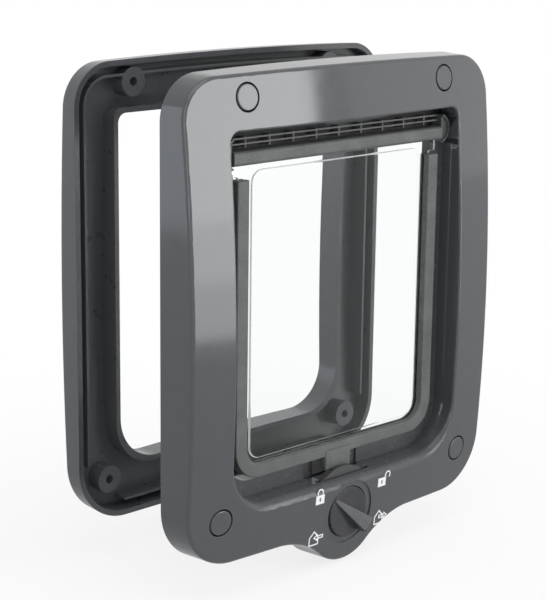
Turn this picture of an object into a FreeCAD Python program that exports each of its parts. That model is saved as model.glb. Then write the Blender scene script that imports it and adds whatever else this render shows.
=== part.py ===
import FreeCAD, Part
import math
import os
import re

from FreeCAD import Placement, Rotation, Vector

# Four way locking cat flap: a room side frame with a clear swinging flap and a
# setting dial, and an outdoor frame that clamps on the far side of the door.
# +Z is up, the room side looks along +Y, and the origin lies on the door's room
# face, midway between the two rows of clamp screws.

os.makedirs("parts", exist_ok=True)
doc = FreeCAD.newDocument("cat_flap")

# Driving dimensions, in millimetres and degrees

DIMENSIONS = {
    # outline shared by the two frames
    "half_width": 98.0,
    "top_rise": 104.3,
    "bottom_drop": 114.3,
    "top_corner": 20.0,
    "bottom_corner": 27.0,
    "top_bow": 1.2,
    "hump_drop": 17.0,
    "hump_tip_radius": 22.8,
    "hump_valley_radius": 42.6,
    "side_draft": 1.3,
    "wall": 2.6,
    "edge_round": 2.0,
    # doubly curved face
    "face_reach": 24.3,
    "face_crest": -18.0,
    "face_bow_radius": 950.0,
    "face_crown_radius": 1045.0,
    "lip_round": 1.0,
    "sill_round": 4.5,
    # passage through the room side frame
    "passage_top_corner": 5.0,
    "passage_bottom_corner": 22.0,
    "ledge_depth": 7.5,
    "pocket_depth": 4.8,
    "tunnel_top_corner": 1.0,
    "tunnel_bottom_corner": 14.0,
    "reveal_wall": 2.4,
    "flap_clearance": 1.5,
    "floor_clearance": 2.0,
    "ledge_width": 6.7,
    "ceiling_above_hinge": 2.0,
    "passage_above_hinge": 12.5,
    "tab_clearance": 2.3,
    "tab_notch_half": 11.0,
    "top_screw_inset": 35.0,
    "top_screw_below": 11.5,
    "bottom_screw_inset": 19.0,
    "bottom_screw_above": 21.9,
    # clamp screws and their caps
    "tube_radius": 8.4,
    "cap_bore_radius": 6.4,
    "cap_radius": 6.05,
    "cap_proud": 0.35,
    "cap_edge_round": 0.6,
    "cap_skirt": 5.0,
    "cap_step_radius": 5.2,
    "cap_hollow_radius": 4.4,
    "cap_top_thickness": 1.6,
    "screw_seat": 6.0,
    "screw_head_radius": 4.0,
    "screw_head": 2.6,
    "screw_radius": 1.75,
    "screw_hole_radius": 2.6,
    "screw_tip": 24.0,
    # flap
    "hinge_rise": 66.0,
    "hinge_depth": 9.07,
    "bar_overhang": 0.7,
    "bar_rise": 3.2,
    "bar_front": 3.3,
    "bar_back": 3.2,
    "bar_round": 1.6,
    "pin_radius": 1.5,
    "pin_clearance": 0.05,
    "pin_length": 9.0,
    "pin_seat": 4.0,
    "band_half": 64.8,
    "band_width": 6.8,
    "band_floor": 6.0,
    "band_below_hinge": 9.5,
    "band_drop": 79.5,
    "band_corner": 15.0,
    "band_front": 12.4,
    "band_back": 6.6,
    "band_edge_round": 0.6,
    "tab_half": 8.35,
    "tab_length": 7.0,
    "tab_front": 12.9,
    "tab_back": 9.9,
    "plate_thickness": 1.6,
    "plate_back": 7.6,
    "plate_overlap": 4.0,
    "ear_inset": 1.2,
    "tongue_below_hinge": 1.8,
    "ear_below_hinge": 8.4,
    "pane_margin": 3.5,
    "pane_floor_margin": 2.5,
    "slot_clearance": 0.1,
    "pane_corner": 6.0,
    "pane_proud": 1.0,
    "bearing_front": 12.4,
    "bearing_end_gap": 0.5,
    "bearing_width": 5.0,
    "bearing_above_hinge": 9.1,
    "bearing_round": 7.0,
    "bearing_rim": 0.9,
    "bearing_recess": 1.2,
    "end_notch": 1.1,
    "notch_above_hinge": 4.0,
    "bearing_gap": 0.1,
    "magnet_radius": 2.0,
    "magnet_thickness": 2.0,
    "magnet_lift": 3.4,
    "sill_magnet_radius": 1.4,
    "sill_magnet_cover": 0.8,
    "dial_below_sill": 17.2,
    # grille strip over the hinge bar
    "grille_front": 8.2,
    "grille_above_hinge": 8.9,
    "rib_above_hinge": 4.2,
    "rail_high_above_hinge": 8.2,
    "rail_low_above_hinge": 5.9,
    "rail_thickness": 0.7,
    "rail_end": 0.5,
    "rib_thickness": 0.8,
    "rib_pitch": 14.4,
    "rib_count": 9,
    # dial and lock
    "dial_face": 20.4,
    "dial_thickness": 2.4,
    "dial_radius": 12.2,
    "dial_bore_radius": 12.6,
    "journal_clearance": 0.07,
    "journal_margin": 0.4,
    "dish_radius": 15.6,
    "dish_depth": 0.7,
    "grip_angle": -40.0,
    "grip_rise": 5.4,
    "grip_tail": 11.6,
    "grip_tail_rise": 0.4,
    "grip_head": 13.2,
    "grip_half": 4.6,
    "grip_tip_half": 0.9,
    "grip_bulge": 0.8,
    "grip_edge_round": 0.5,
    "grip_lift": 1.9,
    "shaft_radius": 4.0,
    "shaft_front": 19.0,
    "shaft_flat": 3.2,
    "shaft_clearance": 0.03,
    "disc_radius": 21.5,
    "disc_clearance": 0.9,
    "disc_front_clearance": 0.5,
    "cover_overlap": 2.2,
    "cover_screw_above_dial": 2.0,
    "disc_waist_radius": 17.0,
    "disc_thickness": 1.6,
    "front_disc_front": 16.1,
    "front_lobe_middle": 90.0,
    "front_lobe_span": 80.0,
    "rear_lobe_middle": 230.0,
    "rear_lobe_span": 160.0,
    "rear_disc_front": 8.6,
    "spacer_radius": 7.0,
    "chamber_wall": 2.4,
    "sill_thickness": 2.5,
    "disc_slot_half": 17.5,
    "disc_slot_margin": 0.5,
    "cover_front": 5.2,
    "cover_thickness": 2.2,
    "cover_clearance": 0.2,
    "cover_hole_radius": 5.8,
    "cover_screw_offset": 28.2,
    "cover_ear_radius": 4.2,
    "cover_screw_radius": 1.4,
    "cover_screw_head_radius": 2.7,
    "cover_screw_head": 1.5,
    "cover_post_radius": 3.6,
    "spring_thickness": 0.5,
    "spring_gap": 0.25,
    "spring_width": 3.0,
    "spring_half": 11.0,
    "spring_rise": 9.0,
    "spring_bump_radius": 1.2,
    "dial_screw_radius": 1.4,
    "dial_screw_head_radius": 5.0,
    "dial_screw_head": 1.2,
    "dial_screw_length": 8.0,
    # outdoor frame
    "door_gap": 58.0,
    "rear_reach": 17.8,
    "rear_bow_radius": 1400.0,
    "rear_edge_round": 2.0,
    "rear_crest": -10.0,
    "rear_half_opening": 71.8,
    "rear_opening_rise": 79.0,
    "rear_opening_drop": 86.5,
    "rear_opening_top_corner": 4.5,
    "rear_opening_bottom_corner": 22.0,
    "rear_bottom_drop": 111.5,
    "rear_reveal_set_back": 2.0,
    "boss_radius": 6.7,
    "boss_set_back": 1.6,
    "boss_hole_radius": 2.1,
    "boss_hole_depth": 8.0,
    "lip_inset": 6.4,
    "lip_thickness": 1.3,
    "lip_set_back": 1.6,
    "lip_gap_half": 70.0,
    "lip_gap_top": 84.0,
}

# Sizes that follow from the driving ones

SUMS = {
    "tunnel_half": "band_half + flap_clearance",
    "tunnel_rise": "hinge_rise + ceiling_above_hinge",
    "tunnel_drop": "band_drop + floor_clearance",
    "passage_half": "tunnel_half + ledge_width",
    "passage_rise": "hinge_rise + passage_above_hinge",
    "passage_drop": "tab_drop + tab_clearance",
    "pocket_bottom": "bearing_bottom - bearing_gap",
    "top_screw_offset": "half_width - top_screw_inset",
    "top_screw_rise": "top_rise - top_screw_below",
    "bottom_screw_offset": "half_width - bottom_screw_inset",
    "bottom_screw_drop": "bottom_drop - bottom_screw_above",
    "bar_half": "tunnel_half + bar_overhang",
    "band_top": "hinge_rise - band_below_hinge",
    "tab_drop": "band_drop + tab_length",
    "pane_half": "band_half - band_width - pane_margin",
    "pane_top": "hinge_rise - ear_below_hinge",
    "pane_drop": "band_drop - band_floor - pane_floor_margin",
    "ear_half": "bar_half - ear_inset",
    "ear_top": "hinge_rise - tongue_below_hinge",
    "ear_drop": "hinge_rise - ear_below_hinge",
    "bearing_inner": "bar_half + bearing_end_gap",
    "bearing_outer": "bearing_inner + bearing_width",
    "bearing_top": "hinge_rise + bearing_above_hinge",
    "bearing_bottom": "bearing_top - bearing_round - bearing_round",
    "grille_top": "hinge_rise + grille_above_hinge",
    "grille_bottom": "hinge_rise + rib_above_hinge",
    "rail_high": "hinge_rise + rail_high_above_hinge",
    "rail_low": "hinge_rise + rail_low_above_hinge",
    "dial_drop": "passage_drop + dial_below_sill",
    "chamber_radius": "disc_radius + disc_clearance",
    "chamber_front": "front_disc_front + disc_front_clearance",
    "cover_radius": "chamber_radius + cover_overlap",
    "cover_screw_drop": "dial_drop - cover_screw_above_dial",
    "journal_radius": "dial_bore_radius - journal_clearance",
    "journal_end": "chamber_front + journal_margin",
}

sheet = doc.addObject("Spreadsheet::Sheet", "Sizes")
for row, (alias, number) in enumerate(DIMENSIONS.items(), start=1):
    sheet.set("A%d" % row, alias)
    sheet.set("B%d" % row, str(number))
    sheet.setAlias("B%d" % row, alias)
doc.recompute()


def size(alias):
    """A dimension, read from the sheet or summed from others."""
    if alias not in SUMS:
        return float(sheet.get(alias))
    total = 0.0
    sign = 1.0
    for word in SUMS[alias].split():
        if word in ("+", "-"):
            sign = 1.0 if word == "+" else -1.0
        else:
            total += sign * size(word)
    return total


def spelled(alias):
    """A dimension as an expression on the sheet."""
    if alias not in SUMS:
        return "Sizes." + alias
    words = [word if word in ("+", "-") else spelled(word)
             for word in SUMS[alias].split()]
    return "(%s)" % " ".join(words)


# Working range of the tools that trim the frames

BEYOND = 40.0
FACE_HALF_ANGLE = 14.0
FACE_TOP = 170.0
FACE_BOTTOM = -200.0

produced = []


def bind(target, **expressions):
    """Ties properties of an object to expressions on the sheet."""
    for name, expression in expressions.items():
        full = re.sub(r"Sizes\.(\w+)", lambda found: spelled(found.group(1)),
                      expression)
        target.setExpression(name.replace("__", "."), full)


def rod(name, x, y, z, length, radius):
    """A cylinder along +Y; every argument is an expression."""
    item = doc.addObject("Part::Cylinder", name)
    item.Placement = Placement(Vector(0, 0, 0), Rotation(Vector(1, 0, 0), -90))
    bind(item, Radius=radius, Height=length, Placement__Base__x=x,
         Placement__Base__y=y, Placement__Base__z=z)
    return item


def cross_rod(name, x, y, z, length, radius):
    """A cylinder along +X; every argument is an expression."""
    item = doc.addObject("Part::Cylinder", name)
    item.Placement = Placement(Vector(0, 0, 0), Rotation(Vector(0, 1, 0), 90))
    bind(item, Radius=radius, Height=length, Placement__Base__x=x,
         Placement__Base__y=y, Placement__Base__z=z)
    return item


def block(name, low, high):
    """A box between two corners; every coordinate is an expression."""
    item = doc.addObject("Part::Box", name)
    bind(item, Length="(%s) - (%s)" % (high[0], low[0]),
         Width="(%s) - (%s)" % (high[1], low[1]),
         Height="(%s) - (%s)" % (high[2], low[2]),
         Placement__Base__x=low[0], Placement__Base__y=low[1],
         Placement__Base__z=low[2])
    return item


def cut(name, base, *tools):
    """The base without its tools."""
    result = base
    for index, tool in enumerate(tools):
        step = doc.addObject("Part::Cut", "%s_%d" % (name, index))
        step.Base = result
        step.Tool = tool
        result = step
    doc.recompute()
    return result


def fuse(name, *pieces):
    """Several solids joined into one."""
    item = doc.addObject("Part::MultiFuse", name)
    item.Shapes = list(pieces)
    doc.recompute()
    return item


def common(name, first, second):
    """What two solids share."""
    item = doc.addObject("Part::Common", name)
    item.Base = first
    item.Tool = second
    doc.recompute()
    return item


def rounded(name, base, radius, wanted):
    """The base with a fillet on each edge that the test picks."""
    doc.recompute()
    edges = base.Shape.Edges
    picked = [(number, radius, radius) for number, edge in enumerate(edges, 1)
              if wanted(edge)]
    item = doc.addObject("Part::Fillet", name)
    item.Base = base
    item.Edges = picked
    doc.recompute()
    return item


def rounded_by(name, base, radii):
    """The base with fillets whose end radii come from a rule for each edge."""
    doc.recompute()
    picked = []
    for number, edge in enumerate(base.Shape.Edges, 1):
        ends = radii(edge)
        if ends is not None:
            picked.append((number, ends[0], ends[1]))
    item = doc.addObject("Part::Fillet", name)
    item.Base = base
    item.Edges = picked
    doc.recompute()
    return item


def keep(item, label):
    """Registers a finished piece under its own name."""
    item.Label = label
    produced.append(item)
    return item


def line(ax, az, bx, bz):
    """A straight sketch edge."""
    return Part.LineSegment(Vector(ax, az, 0), Vector(bx, bz, 0))


def arc_about(cx, cz, radius, start_deg, end_deg):
    """A sketch arc about a centre, from one angle to another, through their middle."""
    def at(angle):
        turn = math.radians(angle)
        return Vector(cx + radius * math.cos(turn), cz + radius * math.sin(turn), 0)
    return Part.Arc(at(start_deg), at((start_deg + end_deg) / 2.0), at(end_deg))


def sketch_front(body, name, geometry, depth):
    """A sketch seen from the room side, its plane at y = -depth."""
    sketch = body.newObject("Sketcher::SketchObject", name)
    plane = [feature for feature in body.Origin.OriginFeatures
             if feature.Role == "XZ_Plane"][0]
    sketch.AttachmentSupport = (plane, [""])
    sketch.MapMode = "FlatFace"
    sketch.AttachmentOffset = Placement(Vector(0, 0, depth), Rotation())
    sketch.addGeometry(geometry, False)
    return sketch


def prism(name, geometry, back, front):
    """A straight solid between y = -back and y = -front; both are expressions."""
    body = doc.addObject("PartDesign::Body", name)
    sketch = sketch_front(body, name + "_outline", geometry, 0)
    bind(sketch, AttachmentOffset__Base__z=back)
    pad = body.newObject("PartDesign::Pad", name + "_pad")
    pad.Profile = sketch
    bind(pad, Length="(%s) - (%s)" % (front, back))
    doc.recompute()
    return body


def tapered(name, back_geometry, back, front_geometry, front):
    """A solid drawn straight from one outline to another."""
    body = doc.addObject("PartDesign::Body", name)
    first = sketch_front(body, name + "_back", back_geometry, back)
    second = sketch_front(body, name + "_front", front_geometry, front)
    loft = body.newObject("PartDesign::AdditiveLoft", name + "_loft")
    loft.Profile = first
    loft.Sections = [second]
    loft.Ruled = True
    doc.recompute()
    return body


def frame_outline(inset, drop, hump):
    """Outline of a frame, moved inwards by the inset."""
    half = size("half_width") - inset
    top = size("top_rise") - inset
    bottom = -drop + inset
    top_corner = size("top_corner") - inset
    bottom_corner = size("bottom_corner") - inset
    shoulder = top - size("top_bow")
    side_top = shoulder - top_corner
    side_bottom = bottom + bottom_corner
    edges = [
        Part.Arc(Vector(-(half - top_corner), shoulder, 0), Vector(0, top, 0),
                 Vector(half - top_corner, shoulder, 0)),
        arc_about(half - top_corner, side_top, top_corner, 90, 0),
        line(half, side_top, half, side_bottom),
        arc_about(half - bottom_corner, side_bottom, bottom_corner, 0, -90),
    ]
    floor_start = half - bottom_corner
    if hump > 0:
        tip = size("hump_tip_radius")
        valley = size("hump_valley_radius")
        span = tip + valley
        valley_offset = math.sqrt(2.0 * hump * span - hump * hump)
        lean = math.degrees(math.asin(valley_offset / span))
        tip_centre = -drop - hump + tip
        valley_centre = -drop - valley
        edges += [
            line(floor_start, bottom, valley_offset, bottom),
            arc_about(valley_offset, valley_centre, valley + inset, 90, 90 + lean),
            arc_about(0, tip_centre, tip - inset, -90 + lean, -90 - lean),
            arc_about(-valley_offset, valley_centre, valley + inset, 90 - lean, 90),
            line(-valley_offset, bottom, -floor_start, bottom),
        ]
    else:
        edges.append(line(floor_start, bottom, -floor_start, bottom))
    edges += [
        arc_about(-floor_start, side_bottom, bottom_corner, -90, -180),
        line(-half, side_bottom, -half, side_top),
        arc_about(-(half - top_corner), side_top, top_corner, 180, 90),
    ]
    return edges


def window_outline(half, top, bottom, top_corner, bottom_corner):
    """A rectangle with one radius at its top corners and another at the bottom."""
    return [
        line(-(half - top_corner), top, half - top_corner, top),
        arc_about(half - top_corner, top - top_corner, top_corner, 90, 0),
        line(half, top - top_corner, half, bottom + bottom_corner),
        arc_about(half - bottom_corner, bottom + bottom_corner, bottom_corner, 0, -90),
        line(half - bottom_corner, bottom, -(half - bottom_corner), bottom),
        arc_about(-(half - bottom_corner), bottom + bottom_corner, bottom_corner,
                  -90, -180),
        line(-half, bottom + bottom_corner, -half, top - top_corner),
        arc_about(-(half - top_corner), top - top_corner, top_corner, 180, 90),
    ]


def face_trimmer(name, crest, crest_height, outward, bow):
    """Everything outside a doubly curved face whose crest lies at y = crest."""
    crown = size("face_crown_radius")

    def face_at(height):
        rise = height - crest_height
        return crest - outward * (bow - math.sqrt(bow * bow - rise * rise))

    middle = (FACE_TOP + FACE_BOTTOM) / 2.0
    far = crest + outward * BEYOND
    profile = doc.addObject("Sketcher::SketchObject", name + "_profile")
    profile.Placement = Placement(Vector(0, 0, 0), Rotation(0.5, 0.5, 0.5, 0.5))
    profile.addGeometry([
        Part.Arc(Vector(face_at(FACE_TOP), FACE_TOP, 0),
                 Vector(face_at(middle), middle, 0),
                 Vector(face_at(FACE_BOTTOM), FACE_BOTTOM, 0)),
        line(face_at(FACE_BOTTOM), FACE_BOTTOM, far, FACE_BOTTOM),
        line(far, FACE_BOTTOM, far, FACE_TOP),
        line(far, FACE_TOP, face_at(FACE_TOP), FACE_TOP),
    ], False)
    turned = doc.addObject("Part::Revolution", name)
    turned.Source = profile
    turned.Axis = Vector(0, 0, 1)
    turned.Base = Vector(0, crest - outward * crown, 0)
    turned.Angle = 2.0 * FACE_HALF_ANGLE
    turned.Symmetric = True
    turned.Solid = True
    doc.recompute()
    return turned


def screw_places():
    """Name, x and z expressions of the four clamp screws."""
    for row, drop in (("top", "Sizes.top_screw_rise"),
                      ("bottom", "-Sizes.bottom_screw_drop")):
        for side, sign in (("left", "-"), ("right", "")):
            yield "%s_%s" % (row, side), "%sSizes.%s_screw_offset" % (sign, row), drop


def face_depth(x, z):
    """Expression for y of the room side face at a place on it."""
    return ("-Sizes.face_reach + (%s) * (%s) / (2 * Sizes.face_crown_radius)"
            " + (%s - Sizes.face_crest) * (%s - Sizes.face_crest)"
            " / (2 * Sizes.face_bow_radius)" % (x, x, z, z))


# Room side frame

front_crest = -size("face_reach")
blank_depth = size("face_reach") + size("wall")


def front_trimmer(name, sunk):
    """Everything in front of the room side face, moved back by some depth."""
    return face_trimmer(name, front_crest + sunk, size("face_crest"), -1,
                        size("face_bow_radius"))


def build_front_shell():
    """The moulded shell with its passage, walls and hollow back."""
    drop = size("bottom_drop")
    hump = size("hump_drop")
    draft = size("side_draft")
    wall = size("wall")
    half = size("passage_half")
    rise = size("passage_rise")
    sill = -size("passage_drop")
    top_corner = size("passage_top_corner")
    bottom_corner = size("passage_bottom_corner")
    reveal_wall = size("reveal_wall")
    blank = tapered("front_blank", frame_outline(0, drop, hump), 0,
                    frame_outline(draft, drop, hump), blank_depth)
    reveal = prism("front_reveal",
                   window_outline(half, rise, sill, top_corner, bottom_corner),
                   "Sizes.ledge_depth", "Sizes.face_reach + Sizes.wall")
    tunnel = prism("front_tunnel",
                   window_outline(size("tunnel_half"), size("tunnel_rise"),
                                  -size("tunnel_drop"), size("tunnel_top_corner"),
                                  size("tunnel_bottom_corner")),
                   "-1", "Sizes.ledge_depth + 1")
    opened = cut("front_opened", blank, front_trimmer("front_face", 0.0), reveal)

    def on_face(edge):
        box = edge.BoundBox
        return box.YMax < -8.0 and box.YMax - box.YMin < 9.0 and box.YMin < -15.0

    def is_outer(edge):
        middle = edge.BoundBox.Center
        return on_face(edge) and (abs(middle.x) > half + 6.0 or middle.z > rise + 10.0
                                  or middle.z < sill - 20.0)

    def lip_ends(edge):
        if not on_face(edge) or is_outer(edge):
            return None
        ends = []
        for parameter in (edge.FirstParameter, edge.LastParameter):
            low = edge.valueAt(parameter).z < sill + 4.0
            ends.append(size("sill_round") if low else size("lip_round"))
        return ends

    softened = rounded("front_softened", opened, size("edge_round"), is_outer)
    lipped = rounded_by("front_lipped", softened, lip_ends)
    hollow = cut("front_hollow",
                 tapered("front_cavity", frame_outline(wall, drop, hump), -1,
                         frame_outline(wall + draft, drop, hump), blank_depth),
                 front_trimmer("front_skin", wall))
    inner_wall = prism("front_reveal_wall",
                   window_outline(half + reveal_wall, rise + reveal_wall,
                                  sill - reveal_wall, top_corner, bottom_corner),
                   "0", "Sizes.face_reach + Sizes.wall")
    housing = rod("lock_housing", "0", "-Sizes.face_reach", "-Sizes.dial_drop",
                  "Sizes.face_reach - Sizes.cover_front",
                  "Sizes.chamber_radius + Sizes.chamber_wall")
    posts = [
        rod("cover_post_" + side, sign + "Sizes.cover_screw_offset",
            "-Sizes.face_reach", "-Sizes.cover_screw_drop",
            "Sizes.face_reach - Sizes.cover_front", "Sizes.cover_post_radius")
        for side, sign in (("left", "-"), ("right", ""))]
    tubes = [
        rod("tube_" + name, x, "-Sizes.face_reach", z, "Sizes.face_reach",
            "Sizes.tube_radius")
        for name, x, z in screw_places()]
    webs = [
        block("web_%s_%d" % (side, number),
              (low, "-Sizes.face_reach", "%s - 0.8" % height),
              (high, "-3", "%s + 0.8" % height))
        for side, low, high in (("left", "-Sizes.half_width + 1",
                                 "-Sizes.passage_half - 1"),
                                ("right", "Sizes.passage_half + 1",
                                 "Sizes.half_width - 1"))
        for number, height in enumerate((55.0, 15.0, -25.0, -65.0))]
    core = fuse("front_core", inner_wall, housing, *(posts + tubes + webs))
    emptied = cut("front_emptied", hollow, core)
    return cut("front_shell", lipped, emptied, tunnel)


def build_front_frame():
    """The shell with its screw bores, lock chamber, slots and hinge pockets."""
    whole = build_front_shell()
    chamber = common(
        "lock_chamber",
        rod("chamber_round", "0", "-Sizes.chamber_front", "-Sizes.dial_drop",
            "Sizes.chamber_front + 1", "Sizes.chamber_radius"),
        block("chamber_limit", ("-Sizes.chamber_radius", "-Sizes.chamber_front",
                                "-Sizes.dial_drop - Sizes.chamber_radius"),
              ("Sizes.chamber_radius", "1",
               "-Sizes.passage_drop - Sizes.sill_thickness")))
    notch = block("tab_notch",
                  ("-Sizes.tab_notch_half", "-Sizes.ledge_depth - 1",
                   "-Sizes.passage_drop"),
                  ("Sizes.tab_notch_half", "1",
                   "-Sizes.tunnel_drop + 1"))
    slots = [
        block("slot_" + name,
              ("-Sizes.disc_slot_half",
               "-Sizes.%s_disc_front - Sizes.disc_slot_margin" % name,
               "-Sizes.passage_drop - Sizes.sill_thickness - 1"),
              ("Sizes.disc_slot_half",
               "-Sizes.%s_disc_front + Sizes.disc_thickness + Sizes.disc_slot_margin"
               % name, "-Sizes.tunnel_drop + 1"))
        for name in ("front", "rear")]
    bores = []
    for name, x, z in screw_places():
        face = face_depth(x, z)
        bores.append(rod("cap_bore_" + name, x, face + " - 5", z,
                         "5 + Sizes.cap_skirt", "Sizes.cap_bore_radius"))
        bores.append(rod("head_bore_" + name, x, face + " - 1", z,
                         "1 - (%s) - Sizes.screw_seat" % face,
                         "Sizes.cap_step_radius"))
        bores.append(rod("screw_hole_" + name, x, "-Sizes.screw_seat - 1", z,
                         "Sizes.screw_seat + 2", "Sizes.screw_hole_radius"))
    pockets = [
        block("hinge_pocket_middle",
              ("-Sizes.passage_half", "-Sizes.ledge_depth - 1",
               "Sizes.pocket_bottom"),
              ("Sizes.passage_half", "-Sizes.pocket_depth", "Sizes.passage_rise")),
        block("hinge_notch_left",
              ("-Sizes.passage_half - Sizes.end_notch", "-Sizes.face_reach - 5",
               "Sizes.pocket_bottom"),
              ("-Sizes.passage_half + 1", "-Sizes.pocket_depth",
               "Sizes.hinge_rise + Sizes.notch_above_hinge"))]
    dish = common("dial_dish",
                  rod("dish_round", "0", "-Sizes.face_reach - 5", "-Sizes.dial_drop",
                      "Sizes.face_reach", "Sizes.dish_radius"),
                  front_trimmer("dish_face", size("dish_depth")))
    dial_bore = rod("dial_bore", "0", "-Sizes.face_reach - 5", "-Sizes.dial_drop",
                    "Sizes.face_reach + 6 - Sizes.chamber_front",
                    "Sizes.dial_bore_radius")
    pilots = [
        rod("pilot_" + side, sign + "Sizes.cover_screw_offset",
            "-Sizes.cover_front - 7", "-Sizes.cover_screw_drop", "8",
            "Sizes.cover_screw_radius")
        for side, sign in (("left", "-"), ("right", ""))]
    magnet_seat = doc.addObject("Part::Cylinder", "sill_magnet_seat")
    bind(magnet_seat, Radius="Sizes.sill_magnet_radius",
         Height="Sizes.sill_thickness - Sizes.sill_magnet_cover",
         Placement__Base__y="-(Sizes.tab_front + Sizes.tab_back) / 2",
         Placement__Base__z="-Sizes.passage_drop - Sizes.sill_thickness")
    tools = fuse("front_tools", chamber, notch, dish, dial_bore, magnet_seat,
                 *(slots + bores + pockets + pilots))
    return cut("front_frame", whole, tools)


front_frame = keep(build_front_frame(), "front_frame")


def build_cap(name, x, z):
    """A push-in cap whose top follows the face it closes."""
    face = face_depth(x, z)
    body = rod("cap_body_" + name, x, face + " - 3", z, "3 + Sizes.cap_skirt",
               "Sizes.cap_radius")
    shaped = cut("cap_shaped_" + name, body,
                 front_trimmer("cap_face_" + name, -size("cap_proud")))
    hollow = rod("cap_hollow_" + name, x, face + " + Sizes.cap_top_thickness", z,
                 "Sizes.cap_skirt", "Sizes.cap_hollow_radius")
    opened = cut("cap_opened_" + name, shaped, hollow)
    front = min(edge.BoundBox.YMin for edge in opened.Shape.Edges)
    return rounded("cap_round_" + name, opened, size("cap_edge_round"),
                   lambda edge: edge.BoundBox.YMax < front + 2.0
                   and edge.BoundBox.XMax - edge.BoundBox.XMin > 2.0)


def build_clamp_screw(name, x, z):
    """A pan head screw that reaches across the door."""
    seat = "-Sizes.screw_seat"
    head = rod("screw_head_" + name, x, seat + " - Sizes.screw_head", z,
               "Sizes.screw_head", "Sizes.screw_head_radius")
    shank = rod("screw_shank_" + name, x, seat, z,
                "Sizes.screw_seat + Sizes.screw_tip", "Sizes.screw_radius")
    drive = [
        block("screw_drive_%s_%d" % (name, number),
              ("%s - %s" % (x, across), seat + " - Sizes.screw_head - 1",
               "%s - %s" % (z, along)),
              ("%s + %s" % (x, across), seat + " - Sizes.screw_head / 2",
               "%s + %s" % (z, along)))
        for number, (across, along) in enumerate((("2.2", "0.5"), ("0.5", "2.2")))]
    return cut("screw_" + name, fuse("screw_solid_" + name, head, shank), *drive)


for place, across_at, height_at in screw_places():
    keep(build_cap(place, across_at, height_at), "screw_cap_" + place)
    keep(build_clamp_screw(place, across_at, height_at), "clamp_screw_" + place)

# Flap, as it hangs


def build_flap_band():
    """The textured U shaped band with the locking tab."""
    half = size("band_half")
    width = size("band_width")
    drop = size("band_drop")
    corner = size("band_corner")
    top = size("band_top")
    floor = size("band_floor")
    outer = prism("band_outer", window_outline(half, top, -drop, 0.6, corner),
                  "Sizes.band_back", "Sizes.band_front")
    inner = prism("band_inner",
                  window_outline(half - width, top + 8.0, -drop + floor, 0.6,
                                 corner - width + 1.5),
                  "Sizes.band_back - 1", "Sizes.band_front + 1")
    u_shape = cut("band_u", outer, inner)

    def outline_edge(edge):
        box = edge.BoundBox
        return box.YMax - box.YMin < 0.01 and box.YMax < -size("band_front") + 0.01 \
            and box.ZMax - box.ZMin < 200.0

    softened = rounded("band_softened", u_shape, size("band_edge_round"),
                       outline_edge)
    slot = prism("band_slot", plate_outline(0.0, size("band_top") + 9.0),
                 "Sizes.plate_back - Sizes.slot_clearance",
                 "Sizes.plate_back + Sizes.plate_thickness + Sizes.slot_clearance")
    tab = block("tab_block",
                ("-Sizes.tab_half", "-Sizes.tab_front", "-Sizes.tab_drop"),
                ("Sizes.tab_half", "-Sizes.tab_back",
                 "-Sizes.band_drop + Sizes.band_floor / 2"))
    tab_soft = rounded("tab_soft", tab, 0.9,
                       lambda edge: edge.BoundBox.ZMax < -size("tab_drop") + 0.01
                       or edge.BoundBox.ZMax - edge.BoundBox.ZMin > 5.0)
    seat = rod("tab_magnet_seat", "0", "-Sizes.tab_back - Sizes.magnet_thickness",
               "-Sizes.tab_drop + Sizes.magnet_lift",
               "Sizes.magnet_thickness + 4", "Sizes.magnet_radius")
    return cut("flap_band", fuse("band_whole", cut("band_slotted", softened, slot),
                                 tab_soft), seat)


def plate_outline(inset, top):
    """Outline of the clear sheet inside the band."""
    half = size("band_half") - size("band_width") + size("plate_overlap") - inset
    bottom = -size("band_drop") + size("band_floor") - size("plate_overlap") + inset
    return window_outline(half, top, bottom, 0.3,
                          size("band_corner") - size("band_width") + 4.0)


def build_flap_panel():
    """The clear sheet with its raised pane, ears and hinge tongue."""
    sheet_body = prism("panel_sheet", plate_outline(0.0, size("ear_drop") + 1.0),
                       "Sizes.plate_back", "Sizes.plate_back + Sizes.plate_thickness")
    ears = block("panel_ears",
                 ("-Sizes.ear_half", "-Sizes.plate_back - Sizes.plate_thickness",
                  "Sizes.ear_drop"),
                 ("Sizes.ear_half", "-Sizes.plate_back", "Sizes.ear_top"))
    pane = prism("panel_pane",
                 window_outline(size("pane_half"), size("pane_top"),
                                -size("pane_drop"), size("pane_corner"),
                                size("pane_corner")),
                 "Sizes.plate_back + Sizes.plate_thickness / 2",
                 "Sizes.plate_back + Sizes.plate_thickness + Sizes.pane_proud")
    return fuse("flap_panel", sheet_body, ears, pane)


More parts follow.
